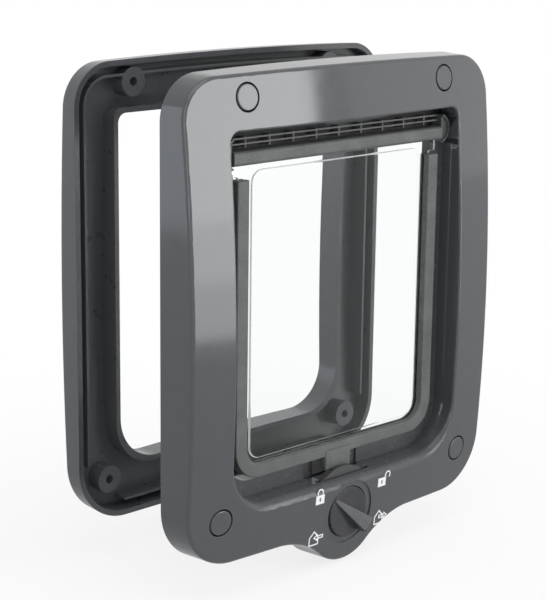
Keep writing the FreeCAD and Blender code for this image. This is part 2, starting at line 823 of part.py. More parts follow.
def build_hinge_bar():
    """The textured bar that carries the clear sheet and the pivot pins."""
    bar = block("bar_block",
                ("-Sizes.bar_half", "-Sizes.hinge_depth - Sizes.bar_front",
                 "Sizes.hinge_rise - Sizes.bar_rise"),
                ("Sizes.bar_half", "-Sizes.hinge_depth + Sizes.bar_back",
                 "Sizes.hinge_rise + Sizes.bar_rise"))
    soft = rounded("bar_soft", bar, size("bar_round"),
                   lambda edge: edge.BoundBox.XMax - edge.BoundBox.XMin > 20.0)
    slot = block("bar_slot",
                 ("-Sizes.ear_half - Sizes.slot_clearance",
                  "-Sizes.plate_back - Sizes.plate_thickness - Sizes.slot_clearance",
                  "Sizes.hinge_rise - Sizes.bar_rise - 1"),
                 ("Sizes.ear_half + Sizes.slot_clearance",
                  "-Sizes.plate_back + Sizes.slot_clearance", "Sizes.ear_top"))
    pin_start = "Sizes.bar_half - Sizes.pin_seat"
    holes = [
        cross_rod("pin_seat_left", "-Sizes.bar_half - 1", "-Sizes.hinge_depth",
                  "Sizes.hinge_rise", "Sizes.pin_seat + 1", "Sizes.pin_radius"),
        cross_rod("pin_seat_right", pin_start, "-Sizes.hinge_depth",
                  "Sizes.hinge_rise", "Sizes.pin_seat + 1", "Sizes.pin_radius")]
    return cut("hinge_bar", soft, slot, *holes)


keep(build_flap_panel(), "flap_panel")
keep(build_hinge_bar(), "hinge_bar")
keep(build_flap_band(), "flap_band")
keep(cross_rod("pin_left", "-Sizes.bar_half + Sizes.pin_seat - Sizes.pin_length",
               "-Sizes.hinge_depth", "Sizes.hinge_rise", "Sizes.pin_length",
               "Sizes.pin_radius"), "pivot_pin_left")
keep(cross_rod("pin_right", "Sizes.bar_half - Sizes.pin_seat", "-Sizes.hinge_depth",
               "Sizes.hinge_rise", "Sizes.pin_length", "Sizes.pin_radius"),
     "pivot_pin_right")
keep(rod("magnet_in_tab", "0", "-Sizes.tab_back - Sizes.magnet_thickness",
         "-Sizes.tab_drop + Sizes.magnet_lift", "Sizes.magnet_thickness",
         "Sizes.magnet_radius"), "tab_magnet")

sill_magnet = doc.addObject("Part::Cylinder", "magnet_in_sill")
bind(sill_magnet, Radius="Sizes.sill_magnet_radius",
     Height="Sizes.sill_thickness - Sizes.sill_magnet_cover",
     Placement__Base__y="-(Sizes.tab_front + Sizes.tab_back) / 2",
     Placement__Base__z="-Sizes.passage_drop - Sizes.sill_thickness")
keep(sill_magnet, "sill_magnet")


def build_hinge_grille():
    """The strip with two thin rails, short ribs and a bearing at each end."""
    front = "-Sizes.grille_front - Sizes.rail_thickness"
    rails = [
        block("rail_%d" % number,
              ("-Sizes.bearing_inner - Sizes.rail_end", front,
               "%s - Sizes.rail_thickness / 2" % height),
              ("Sizes.bearing_inner + Sizes.rail_end", "-Sizes.grille_front",
               "%s + Sizes.rail_thickness / 2" % height))
        for number, height in enumerate(("Sizes.rail_high", "Sizes.rail_low"))]
    count = int(size("rib_count"))
    ribs = []
    for number in range(count):
        middle = "(%s) * Sizes.rib_pitch" % (number - (count - 1) / 2.0)
        ribs.append(block("rib_%d" % number,
                          (middle + " - Sizes.rib_thickness / 2", front,
                           "Sizes.grille_bottom"),
                          (middle + " + Sizes.rib_thickness / 2",
                           "-Sizes.pocket_depth", "Sizes.grille_top")))
    centre = "(Sizes.bearing_outer - Sizes.bearing_round)"
    height = "Sizes.bearing_top - Sizes.bearing_round"
    ends = []
    for side, sign in (("left", "-"), ("right", "")):
        whole = rod("bearing_whole_" + side, sign + centre, "-Sizes.bearing_front",
                    height, "Sizes.bearing_front - Sizes.pocket_depth",
                    "Sizes.bearing_round")
        recess = rod("bearing_recess_" + side, sign + centre,
                     "-Sizes.bearing_front - 1", height, "Sizes.bearing_recess + 1",
                     "Sizes.bearing_round - Sizes.bearing_rim")
        edge = sign + "Sizes.bearing_inner"
        far = sign + "(Sizes.bearing_outer + 1)"
        low, high = (far, edge) if sign else (edge, far)
        room = block("bearing_room_" + side,
                     (low, "-Sizes.bearing_front - 1", "Sizes.bearing_bottom - 1"),
                     (high, "1", "Sizes.bearing_top + 1"))
        ends.append(common("bearing_" + side,
                           cut("bearing_cup_" + side, whole, recess), room))
    strip = fuse("grille_strip", *(rails + ribs + ends))
    reach = "Sizes.pin_length - Sizes.pin_seat + 0.3"
    holes = [
        cross_rod("pivot_hole_left",
                  "-Sizes.bar_half - (%s)" % reach, "-Sizes.hinge_depth",
                  "Sizes.hinge_rise", "%s + 5" % reach,
                  "Sizes.pin_radius + Sizes.pin_clearance"),
        cross_rod("pivot_hole_right", "Sizes.bar_half - 5", "-Sizes.hinge_depth",
                  "Sizes.hinge_rise", "%s + 5" % reach,
                  "Sizes.pin_radius + Sizes.pin_clearance")]
    return cut("hinge_grille", strip, *holes)


keep(build_hinge_grille(), "hinge_grille")

# Lock


def lock_disc(name, front, middle_deg, span_deg):
    """A disc with one or more raised lobes round its edge."""
    rim = rod("disc_rim_" + name, "0", "-(%s)" % front, "-Sizes.dial_drop",
              "Sizes.disc_thickness", "Sizes.disc_radius")
    waist = rod("disc_waist_" + name, "0", "-(%s)" % front, "-Sizes.dial_drop",
                "Sizes.disc_thickness", "Sizes.disc_waist_radius")
    radius = 60.0
    centre = -size("dial_drop")
    wedges = []
    for number, middle in enumerate(middle_deg):
        start = math.radians(middle - span_deg / 2.0)
        half = math.radians(middle)
        end = math.radians(middle + span_deg / 2.0)
        points = [Vector(0, centre, 0)]
        for angle in (start, half, end):
            points.append(Vector(radius * math.cos(angle),
                                 centre + radius * math.sin(angle), 0))
        edges = [Part.LineSegment(points[0], points[1]),
                 Part.Arc(points[1], points[2], points[3]),
                 Part.LineSegment(points[3], points[0])]
        wedges.append(prism("disc_wedge_%s_%d" % (name, number), edges,
                            "(%s) - Sizes.disc_thickness" % front, front))
    lobes = common("disc_lobes_" + name, rim,
                   fuse("disc_wedges_" + name, *wedges) if len(wedges) > 1
                   else wedges[0])
    hole = square_rod("disc_hole_" + name, "-(%s) - 1" % front,
                      "Sizes.disc_thickness + 2", "Sizes.shaft_clearance")
    return cut("disc_" + name, fuse("disc_solid_" + name, waist, lobes), hole)


def square_rod(name, y, length, extra):
    """A bar with two flats, the cross section of the dial shaft."""
    round_part = rod(name + "_round", "0", y, "-Sizes.dial_drop", length,
                     "Sizes.shaft_radius + %s" % extra)
    flats = block(name + "_flats",
                  ("-Sizes.shaft_radius - 1", y,
                   "-Sizes.dial_drop - Sizes.shaft_flat - %s" % extra),
                  ("Sizes.shaft_radius + 1", "%s + %s" % (y, length),
                   "-Sizes.dial_drop + Sizes.shaft_flat + %s" % extra))
    return common(name, round_part, flats)


def build_grip():
    """A wedge that rises and widens from one side of the knob to the other."""
    angle = size("grip_angle")
    tail = size("grip_tail")
    head = size("grip_head")
    half = size("grip_half")
    tip = size("grip_tip_half")
    turned = Rotation(Vector(0, 1, 0), -angle)
    centre = Vector(0, 0, -size("dial_drop"))

    def plan(reach, across):
        point = turned.multVec(Vector(reach, 0, across)) + centre
        return Vector(point.x, point.z, 0)

    plan_edges = [
        Part.LineSegment(plan(-tail, -tip), plan(head, -half)),
        Part.Arc(plan(head, -half), plan(head + size("grip_bulge"), 0),
                 plan(head, half)),
        Part.LineSegment(plan(head, half), plan(-tail, tip)),
        Part.LineSegment(plan(-tail, tip), plan(-tail, -tip)),
    ]
    tall = prism("knob_grip", plan_edges, "Sizes.dial_face - 1",
                 "Sizes.dial_face + Sizes.grip_rise")
    low = Vector(-tail, -size("dial_face") - size("grip_tail_rise"), 0)
    fall = size("grip_rise") - size("grip_tail_rise")
    lean = Rotation(Vector(0, 0, 1), -math.degrees(math.atan2(fall, tail + head)))
    above = doc.addObject("Part::Box", "grip_slope")
    above.Length = 3.0 * BEYOND
    above.Width = BEYOND
    above.Height = 2.0 * BEYOND
    corner = low + lean.multVec(Vector(-BEYOND, -BEYOND, -BEYOND))
    above.Placement = Placement(turned.multVec(corner) + centre,
                                turned.multiply(lean))
    sloped = cut("knob_grip_sloped", tall, above)
    foot = -size("dial_face") + 1.0

    def top_edge(edge):
        box = edge.BoundBox
        upright = box.XMax - box.XMin < 0.05 and box.ZMax - box.ZMin < 0.05
        return box.YMin < foot - 1.5 and edge.Length > 3.0 and not upright

    soft = rounded("grip_soft", sloped, size("grip_edge_round"), top_edge)
    lift = "-Sizes.dial_face - Sizes.grip_lift"
    around = cut("grip_around",
                 rod("grip_around_far", "0", lift, "-Sizes.dial_drop",
                     "Sizes.face_reach", "3 * Sizes.dial_radius"),
                 rod("grip_around_near", "0", lift + " - 1", "-Sizes.dial_drop",
                     "Sizes.face_reach + 2", "Sizes.dial_radius - 0.3"))
    return cut("grip_lifted", soft, around)


def build_dial_knob():
    """The round knob with a grip that widens towards its setting."""
    disc = rod("knob_disc", "0", "-Sizes.dial_face", "-Sizes.dial_drop",
               "Sizes.dial_thickness", "Sizes.dial_radius")
    disc_soft = rounded("knob_soft", disc, 0.5,
                        lambda edge: edge.BoundBox.YMax < -size("dial_face") + 0.01
                        and edge.BoundBox.XMax - edge.BoundBox.XMin > 5.0)
    journal = rod("knob_journal", "0", "-Sizes.dial_face + Sizes.dial_thickness",
                  "-Sizes.dial_drop",
                  "Sizes.dial_face - Sizes.dial_thickness - Sizes.journal_end",
                  "Sizes.journal_radius")
    solid_grip = build_grip()
    solid = fuse("knob_solid", disc_soft, journal, solid_grip)
    socket = square_rod("knob_socket", "-Sizes.shaft_front",
                        "Sizes.shaft_front - Sizes.journal_end + 1",
                        "Sizes.shaft_clearance")
    return cut("dial_knob", solid, socket)


keep(build_dial_knob(), "dial_knob")
shaft_length = "Sizes.shaft_front - Sizes.rear_disc_front + Sizes.disc_thickness"
shaft = square_rod("dial_shaft_bar", "-Sizes.shaft_front", shaft_length, "0")
shaft_pilot = rod("shaft_pilot", "0",
                  "-Sizes.rear_disc_front + Sizes.disc_thickness"
                  " - Sizes.dial_screw_length", "-Sizes.dial_drop",
                  "Sizes.dial_screw_length + 1", "Sizes.dial_screw_radius")
keep(cut("dial_shaft", shaft, shaft_pilot), "dial_shaft")
front_lobe = size("front_lobe_middle")
keep(lock_disc("front", "Sizes.front_disc_front", (front_lobe, front_lobe + 180.0),
               size("front_lobe_span")), "front_lock_disc")
keep(lock_disc("rear", "Sizes.rear_disc_front", (size("rear_lobe_middle"),),
               size("rear_lobe_span")), "rear_lock_disc")
spacer_front = "-Sizes.front_disc_front + Sizes.disc_thickness"
spacer_length = ("Sizes.front_disc_front - Sizes.disc_thickness"
                 " - Sizes.rear_disc_front")
spacer = rod("spacer_tube", "0", spacer_front, "-Sizes.dial_drop", spacer_length,
             "Sizes.spacer_radius")
spacer_hole = square_rod("spacer_hole", spacer_front, spacer_length,
                         "Sizes.shaft_clearance")
keep(cut("disc_spacer", spacer, spacer_hole), "disc_spacer")
dial_screw_seat = "-Sizes.rear_disc_front + Sizes.disc_thickness"
dial_screw_slot = block("dial_screw_slot",
                        ("-3", dial_screw_seat + " + Sizes.dial_screw_head / 2",
                         "-Sizes.dial_drop - 0.5"),
                        ("3", dial_screw_seat + " + Sizes.dial_screw_head + 1",
                         "-Sizes.dial_drop + 0.5"))
dial_screw = fuse(
    "dial_screw_solid",
    rod("dial_screw_head_disc", "0", dial_screw_seat, "-Sizes.dial_drop",
        "Sizes.dial_screw_head", "Sizes.dial_screw_head_radius"),
    rod("dial_screw_shank", "0", dial_screw_seat + " - Sizes.dial_screw_length",
        "-Sizes.dial_drop", "Sizes.dial_screw_length + 0.5",
        "Sizes.dial_screw_radius"))
keep(cut("dial_screw", dial_screw, dial_screw_slot), "dial_screw")


def build_lock_cover():
    """The plate that closes the lock chamber from behind."""
    disc = rod("cover_disc", "0", "-Sizes.cover_front", "-Sizes.dial_drop",
               "Sizes.cover_thickness", "Sizes.cover_radius")
    ears = [
        rod("cover_ear_" + side, sign + "Sizes.cover_screw_offset",
            "-Sizes.cover_front", "-Sizes.cover_screw_drop", "Sizes.cover_thickness",
            "Sizes.cover_ear_radius")
        for side, sign in (("left", "-"), ("right", ""))]
    bridge = block("cover_bridge",
                   ("-Sizes.cover_screw_offset", "-Sizes.cover_front",
                    "-Sizes.cover_screw_drop - Sizes.cover_ear_radius"),
                   ("Sizes.cover_screw_offset",
                    "-Sizes.cover_front + Sizes.cover_thickness",
                    "-Sizes.cover_screw_drop + Sizes.cover_ear_radius"))
    limit = prism("cover_limit",
                  frame_outline(size("wall") + size("side_draft") / 2.0 + 0.1,
                                size("bottom_drop"), size("hump_drop")),
                  "Sizes.cover_front - Sizes.cover_thickness - 1",
                  "Sizes.cover_front + 1")
    ceiling = block("cover_ceiling",
                    ("-Sizes.half_width", "-Sizes.cover_front - 2",
                     "-Sizes.passage_drop - Sizes.reveal_wall"
                     " - Sizes.cover_clearance"),
                    ("Sizes.half_width", "2", "0"))
    plate = common("cover_plate", fuse("cover_solid", disc, bridge, *ears), limit)
    holes = [
        rod("cover_hole_" + side, sign + "Sizes.cover_screw_offset",
            "-Sizes.cover_front - 1", "-Sizes.cover_screw_drop",
            "Sizes.cover_thickness + 2",
            "Sizes.cover_screw_radius + Sizes.shaft_clearance")
        for side, sign in (("left", "-"), ("right", ""))]
    centre = rod("cover_centre", "0", "-Sizes.cover_front - 1", "-Sizes.dial_drop",
                 "Sizes.cover_thickness + 2", "Sizes.cover_hole_radius")
    return cut("lock_cover", plate, ceiling, centre, *holes)


keep(build_lock_cover(), "lock_cover")
screws = []
for side, sign in (("left", "-"), ("right", "")):
    at = sign + "Sizes.cover_screw_offset"
    seat = "-Sizes.cover_front + Sizes.cover_thickness"
    screws.append(rod("cover_screw_head_" + side, at, seat, "-Sizes.cover_screw_drop",
                      "Sizes.cover_screw_head", "Sizes.cover_screw_head_radius"))
    screws.append(rod("cover_screw_shank_" + side, at, seat + " - 7",
                      "-Sizes.cover_screw_drop", "7.5", "Sizes.cover_screw_radius"))
keep(fuse("cover_screw_pair", *screws), "cover_screws")

spring_strip = block("spring_strip",
                     ("-Sizes.spring_half", "-Sizes.cover_front"
                      " - Sizes.spring_thickness",
                      "-Sizes.dial_drop + Sizes.spring_rise"),
                     ("Sizes.spring_half", "-Sizes.cover_front",
                      "-Sizes.dial_drop + Sizes.spring_rise + Sizes.spring_width"))
spring_bump = doc.addObject("Part::Cylinder", "spring_bump")
bind(spring_bump, Radius="Sizes.spring_bump_radius", Height="Sizes.spring_width",
     Placement__Base__y="-Sizes.rear_disc_front + Sizes.disc_thickness"
                        " + Sizes.spring_gap + Sizes.spring_bump_radius",
     Placement__Base__z="-Sizes.dial_drop + Sizes.spring_rise")
spring_room = block("spring_room",
                    ("-5", "-Sizes.cover_front",
                     "-Sizes.dial_drop"),
                    ("5", "5", "-Sizes.dial_drop + 20"))
keep(cut("detent_spring", fuse("spring_solid", spring_strip, spring_bump),
         spring_room), "detent_spring")

# Outdoor frame


def build_rear_frame():
    """The frame that clamps against the far side of the door."""
    rim = size("door_gap")
    crest = rim + size("rear_reach")
    drop = size("rear_bottom_drop")
    draft = size("side_draft")
    wall = size("wall")
    half = size("rear_half_opening")
    rise = size("rear_opening_rise")
    sill = -size("rear_opening_drop")
    top_corner = size("rear_opening_top_corner")
    bottom_corner = size("rear_opening_bottom_corner")
    reveal_wall = size("reveal_wall")
    far = "-Sizes.door_gap - Sizes.rear_reach - 5"
    blank = tapered("rear_blank", frame_outline(0, drop, 0.0), -rim,
                    frame_outline(draft, drop, 0.0), -(crest + 3.0))
    window = prism("rear_window",
                   window_outline(half, rise, sill, top_corner, bottom_corner),
                   far, "-Sizes.door_gap + 5")
    shaped = cut("rear_shaped", blank,
                 face_trimmer("rear_face", crest, size("rear_crest"), 1,
                              size("rear_bow_radius")), window)

    def on_face(edge):
        box = edge.BoundBox
        return box.YMin > rim + 3.0 and box.YMax - box.YMin < 9.0 and \
            (abs(box.Center.x) > half + 6.0 or box.Center.z > rise + 8.0
             or box.Center.z < sill - 8.0)

    softened = rounded("rear_softened", shaped, size("rear_edge_round"), on_face)
    cavity = cut("rear_hollow",
                 tapered("rear_cavity", frame_outline(wall, drop, 0.0), -(rim - 1.0),
                         frame_outline(wall + draft, drop, 0.0), -(crest + 3.0)),
                 face_trimmer("rear_skin", crest - wall, size("rear_crest"), 1,
                              size("rear_bow_radius")))
    inner_wall = prism("rear_reveal_wall",
                   window_outline(half + reveal_wall, rise + reveal_wall,
                                  sill - reveal_wall, top_corner, bottom_corner),
                   far, "-Sizes.door_gap - Sizes.rear_reveal_set_back")
    inset = size("lip_inset")
    lip_outer = prism("lip_outer", frame_outline(inset, drop, 0.0), far,
                      "-Sizes.door_gap - Sizes.lip_set_back")
    lip_inner = prism("lip_inner",
                      frame_outline(inset + size("lip_thickness"), drop, 0.0), far,
                      "-Sizes.door_gap + 1")
    gaps = [
        block("lip_gap_" + side, (low, "Sizes.door_gap - 1", "-Sizes.rear_bottom_drop"),
              (high, "Sizes.door_gap + Sizes.rear_reach + 6", "-Sizes.lip_gap_top"))
        for side, low, high in (("left", "-Sizes.half_width", "-Sizes.lip_gap_half"),
                                ("right", "Sizes.lip_gap_half", "Sizes.half_width"))]
    lip = cut("rear_lip", lip_outer, lip_inner, *gaps)
    bosses = [
        rod("boss_" + name, x, "Sizes.door_gap + Sizes.boss_set_back", z,
            "Sizes.rear_reach + 3", "Sizes.boss_radius")
        for name, x, z in screw_places()]
    emptied = cut("rear_emptied", cavity, fuse("rear_core", inner_wall, lip, *bosses))
    holes = [
        rod("boss_hole_" + name, x, "Sizes.door_gap", z,
            "Sizes.boss_set_back + Sizes.boss_hole_depth", "Sizes.boss_hole_radius")
        for name, x, z in screw_places()]
    return cut("rear_frame", softened, emptied, *holes)


keep(build_rear_frame(), "rear_frame")

doc.recompute()
for item in doc.Objects:
    if "Invalid" in item.State or "Error" in item.State:
        raise RuntimeError("%s did not build" % item.Label)
for item in produced:
    shape = item.Shape
    if shape.isNull() or not shape.isValid() or not shape.Solids:
        raise RuntimeError("%s has no sound shape" % item.Label)
    shape.exportStep("parts/%s.step" % item.Label)
    box = shape.BoundBox
    print("%s solids %d volume %.0f x %.1f..%.1f y %.1f..%.1f z %.1f..%.1f" % (
        item.Label, len(shape.Solids), shape.Volume, box.XMin, box.XMax, box.YMin,
        box.YMax, box.ZMin, box.ZMax))
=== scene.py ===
"""Looks of the four way locking cat flap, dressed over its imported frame."""

import logging
import math
from dataclasses import dataclass, field
from enum import Enum
from typing import Callable, Iterable, Optional, Sequence

import bmesh
import bpy
from mathutils import Matrix, Vector
from mathutils.bvhtree import BVHTree


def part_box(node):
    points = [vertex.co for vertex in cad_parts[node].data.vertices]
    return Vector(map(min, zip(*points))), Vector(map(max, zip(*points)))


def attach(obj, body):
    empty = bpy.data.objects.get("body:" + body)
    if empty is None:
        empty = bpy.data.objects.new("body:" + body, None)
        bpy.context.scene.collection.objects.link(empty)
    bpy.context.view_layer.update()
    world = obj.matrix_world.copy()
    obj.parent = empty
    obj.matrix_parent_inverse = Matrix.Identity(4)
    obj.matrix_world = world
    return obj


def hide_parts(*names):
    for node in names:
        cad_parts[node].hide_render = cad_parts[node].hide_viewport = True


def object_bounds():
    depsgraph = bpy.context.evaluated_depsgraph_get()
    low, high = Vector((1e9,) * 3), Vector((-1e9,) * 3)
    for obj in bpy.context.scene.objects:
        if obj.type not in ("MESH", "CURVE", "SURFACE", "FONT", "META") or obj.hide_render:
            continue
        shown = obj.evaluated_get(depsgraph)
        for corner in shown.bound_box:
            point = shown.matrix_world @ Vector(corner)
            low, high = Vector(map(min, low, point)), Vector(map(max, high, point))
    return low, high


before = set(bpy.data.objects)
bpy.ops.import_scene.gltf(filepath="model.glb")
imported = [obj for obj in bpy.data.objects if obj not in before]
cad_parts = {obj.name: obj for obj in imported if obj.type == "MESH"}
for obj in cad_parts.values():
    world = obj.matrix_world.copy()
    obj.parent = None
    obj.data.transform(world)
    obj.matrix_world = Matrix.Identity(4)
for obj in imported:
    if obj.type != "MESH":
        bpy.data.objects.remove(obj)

LOG = logging.getLogger("cat_flap")
MM = 0.001
CAD_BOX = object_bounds()
MERGE_DISTANCE = 0.002 * MM
FLAT_ANGLE = math.radians(0.6)
HARD_ANGLE = math.radians(40.0)
SNAP_MM = 0.12
SNAP_ALIGNMENT = 0.999
ON_FACE_MM = 0.003
SLACK_MM = 0.01
Point = tuple[float, float]
Place = tuple[float, float, float]
Zone = tuple[Place, Place]


def linear(colour: str) -> tuple[float, float, float, float]:
    """Turns an sRGB hex value into a linear colour.

    Args:
        colour: six hex digits after a hash sign.

    Returns:
        Red, green, blue and an alpha of 1.
    """
    channels = [int(colour[start:start + 2], 16) / 255.0 for start in (1, 3, 5)]
    bent = [c / 12.92 if c <= 0.04045 else ((c + 0.055) / 1.055) ** 2.4
            for c in channels]
    return (bent[0], bent[1], bent[2], 1.0)


def add_node(tree: bpy.types.NodeTree, kind: str, settings: Optional[dict] = None,
             inputs: Optional[dict] = None) -> bpy.types.Node:
    """Adds one node with its settings, input values and links.

    Args:
        tree: the node tree.
        kind: the node's type name.
        settings: attributes to set on the node.
        inputs: input name or index to a plain value or to an output socket.

    Returns:
        The new node.
    """
    made = tree.nodes.new(kind)
    for name, value in (settings or {}).items():
        setattr(made, name, value)
    for name, value in (inputs or {}).items():
        if isinstance(value, bpy.types.NodeSocket):
            tree.links.new(value, made.inputs[name])
        else:
            made.inputs[name].default_value = value
    return made


def new_material(name: str) -> tuple[bpy.types.Material, bpy.types.NodeTree,
                                     bpy.types.Node]:
    """Makes an empty node material.

    Args:
        name: the material's name.

    Returns:
        The material, its tree and its output node.
    """
    material = bpy.data.materials.new(name)
    material.use_nodes = True
    tree = material.node_tree
    tree.nodes.clear()
    return material, tree, tree.nodes.new("ShaderNodeOutputMaterial")


def blend_colours(tree: bpy.types.NodeTree, factor: bpy.types.NodeSocket, low: str,
                  high: str) -> bpy.types.NodeSocket:
    """Mixes two colours.

    Args:
        tree: the node tree.
        factor: the share of the second colour.
        low: sRGB hex at a factor of 0.
        high: sRGB hex at a factor of 1.

    Returns:
        The mixed colour.
    """
    mix = add_node(tree, "ShaderNodeMix", {"data_type": "RGBA"}, {
        0: factor, 6: linear(low), 7: linear(high)})
    return mix.outputs[2]


def seen_directly(tree: bpy.types.NodeTree,
                  path: bpy.types.Node) -> bpy.types.NodeSocket:
    """Tells what is seen, also through the clear sheet, from what only lights.

    Args:
        tree: the node tree.
        path: the Light Path node.

    Returns:
        1 for camera and transmission rays, and 0 for the others.
    """
    seen = add_node(tree, "ShaderNodeMath", {"operation": "MAXIMUM"}, {
        0: path.outputs["Is Camera Ray"],
        1: path.outputs["Is Transmission Ray"]})
    return seen.outputs[0]


@dataclass(frozen=True)
class GlossAbs:
    """Injection moulded ABS from a polished tool: clear highlights that waver a little.

    The slow ripple is the sink and flow of a large thin moulding. The fine noise is
    the faint bloom and handling marks that break up a perfect reflection.
    """

    name: str
    colour: str
    deep: str
    roughness: float = 0.085
    ripple_mm: float = 38.0
    ripple_height_mm: float = 0.02
    bloom_mm: float = 6.0
    edge_mm: float = 0.35
    specular: float = 0.5

    def make(self) -> bpy.types.Material:
        """Builds the material.

        Returns:
            The material.
        """
        material, tree, output = new_material(self.name)
        place = add_node(tree, "ShaderNodeTexCoord")
        bloom = add_node(tree, "ShaderNodeTexNoise", None, {
            "Vector": place.outputs["Object"], "Scale": 1.0 / (self.bloom_mm * MM),
            "Detail": 4.0, "Roughness": 0.6})
        ripple = add_node(tree, "ShaderNodeTexNoise", None, {
            "Vector": place.outputs["Object"], "Scale": 1.0 / (self.ripple_mm * MM),
            "Detail": 1.0, "Roughness": 0.4})
        tint = blend_colours(tree, bloom.outputs["Fac"], self.deep, self.colour)
        sheen = add_node(tree, "ShaderNodeMapRange", None, {
            "Value": bloom.outputs["Fac"], "From Min": 0.3, "From Max": 0.7,
            "To Min": self.roughness * 0.8, "To Max": self.roughness * 1.25})
        rounding = add_node(tree, "ShaderNodeBevel", {"samples": 4},
                            {"Radius": self.edge_mm * MM})
        bump = add_node(tree, "ShaderNodeBump", None, {
            "Height": ripple.outputs["Fac"], "Strength": 0.5,
            "Distance": self.ripple_height_mm * MM,
            "Normal": rounding.outputs["Normal"]})
        shader = add_node(tree, "ShaderNodeBsdfPrincipled", None, {
            "Base Color": tint, "Roughness": sheen.outputs["Result"],
            "Normal": bump.outputs["Normal"], "IOR": 1.53,
            "Specular IOR Level": self.specular})
        tree.links.new(shader.outputs[0], output.inputs[0])
        return material


@dataclass(frozen=True)
class SparkAbs:
    """ABS from a spark eroded tool: an even pebble that scatters light.

    The real grain is about a third of a millimetre, drawn a little coarser so that
    it still shows.
    """

    name: str
    high: str
    low: str
    grain_mm: float = 0.62
    grain_height_mm: float = 0.09
    roughness: float = 0.55
    cloud_mm: float = 9.0
    cloud_share: float = 0.35

    def make(self) -> bpy.types.Material:
        """Builds the material.

        Returns:
            The material.
        """
        material, tree, output = new_material(self.name)
        place = add_node(tree, "ShaderNodeTexCoord")
        grain = add_node(tree, "ShaderNodeTexNoise", None, {
            "Vector": place.outputs["Object"], "Scale": 1.0 / (self.grain_mm * MM),
            "Detail": 3.0, "Roughness": 0.7})
        wide = add_node(tree, "ShaderNodeTexNoise", None, {
            "Vector": place.outputs["Object"], "Scale": 1.0 / (self.cloud_mm * MM),
            "Detail": 2.0})
        mixed = add_node(tree, "ShaderNodeMath", {"operation": "MULTIPLY_ADD"}, {
            0: wide.outputs["Fac"], 1: self.cloud_share, 2: grain.outputs["Fac"]})
        spread = add_node(tree, "ShaderNodeMapRange", None, {
            "Value": mixed.outputs[0], "From Min": 0.5, "From Max": 0.86})
        tint = blend_colours(tree, spread.outputs["Result"], self.low, self.high)
        bump = add_node(tree, "ShaderNodeBump", None, {
            "Height": grain.outputs["Fac"], "Strength": 0.8,
            "Distance": self.grain_height_mm * MM})
        shader = add_node(tree, "ShaderNodeBsdfPrincipled", None, {
            "Base Color": tint, "Roughness": self.roughness,
            "Normal": bump.outputs["Normal"], "IOR": 1.5})
        tree.links.new(shader.outputs[0], output.inputs[0])
        return material


@dataclass(frozen=True)
class ClearSheet:
    """Moulded clear polycarbonate: colourless, wet looking, with a faint slow wave.

    The IOR is under the real 1.58, matched to the thin reflections in the photo.
    """

    name: str
    tint: str = "#fbfdfd"
    wave_mm: float = 55.0
    wave_height_mm: float = 0.03
    roughness: float = 0.02
    ior: float = 1.25
    haze_mm: float = 2.5

    def make(self) -> bpy.types.Material:
        """Builds the material.

        Returns:
            The material.
        """
        material, tree, output = new_material(self.name)
        place = add_node(tree, "ShaderNodeTexCoord")
        wave = add_node(tree, "ShaderNodeTexNoise", None, {
            "Vector": place.outputs["Object"], "Scale": 1.0 / (self.wave_mm * MM),
            "Detail": 1.0})
        haze = add_node(tree, "ShaderNodeTexNoise", None, {
            "Vector": place.outputs["Object"], "Scale": 1.0 / (self.haze_mm * MM),
            "Detail": 5.0})
        rough = add_node(tree, "ShaderNodeMapRange", None, {
            "Value": haze.outputs["Fac"], "From Min": 0.45, "From Max": 0.8,
            "To Min": self.roughness, "To Max": self.roughness * 1.4})
        bump = add_node(tree, "ShaderNodeBump", None, {
            "Height": wave.outputs["Fac"], "Strength": 0.4,
            "Distance": self.wave_height_mm * MM})
        shader = add_node(tree, "ShaderNodeBsdfPrincipled", None, {
            "Base Color": linear(self.tint), "Roughness": rough.outputs["Result"],
            "Normal": bump.outputs["Normal"], "IOR": self.ior,
            "Transmission Weight": 1.0})
        tree.links.new(shader.outputs[0], output.inputs[0])
        return material


@dataclass(frozen=True)
class FrostedEdgeHighlight:
    """The drafted edges of the clear moulding: finely scuffed, and whitened as a painted
    highlight, so they show as light lines.
    """

    name: str
    tint: str = "#f4f6f6"
    scuff_mm: float = 0.7

    def make(self) -> bpy.types.Material:
        """Builds the material.

        Returns:
            The material.
        """
        material, tree, output = new_material(self.name)
        place = add_node(tree, "ShaderNodeTexCoord")
        scuff = add_node(tree, "ShaderNodeTexNoise", None, {
            "Vector": place.outputs["Object"], "Scale": 1.0 / (self.scuff_mm * MM),
            "Detail": 3.0})
        rough = add_node(tree, "ShaderNodeMapRange", None, {
            "Value": scuff.outputs["Fac"], "From Min": 0.3, "From Max": 0.7,
            "To Min": 0.25, "To Max": 0.5})
        shader = add_node(tree, "ShaderNodeBsdfPrincipled", None, {
            "Base Color": linear(self.tint), "Roughness": rough.outputs["Result"],
            "IOR": 1.5, "Transmission Weight": 0.45})
        tree.links.new(shader.outputs[0], output.inputs[0])
        return material


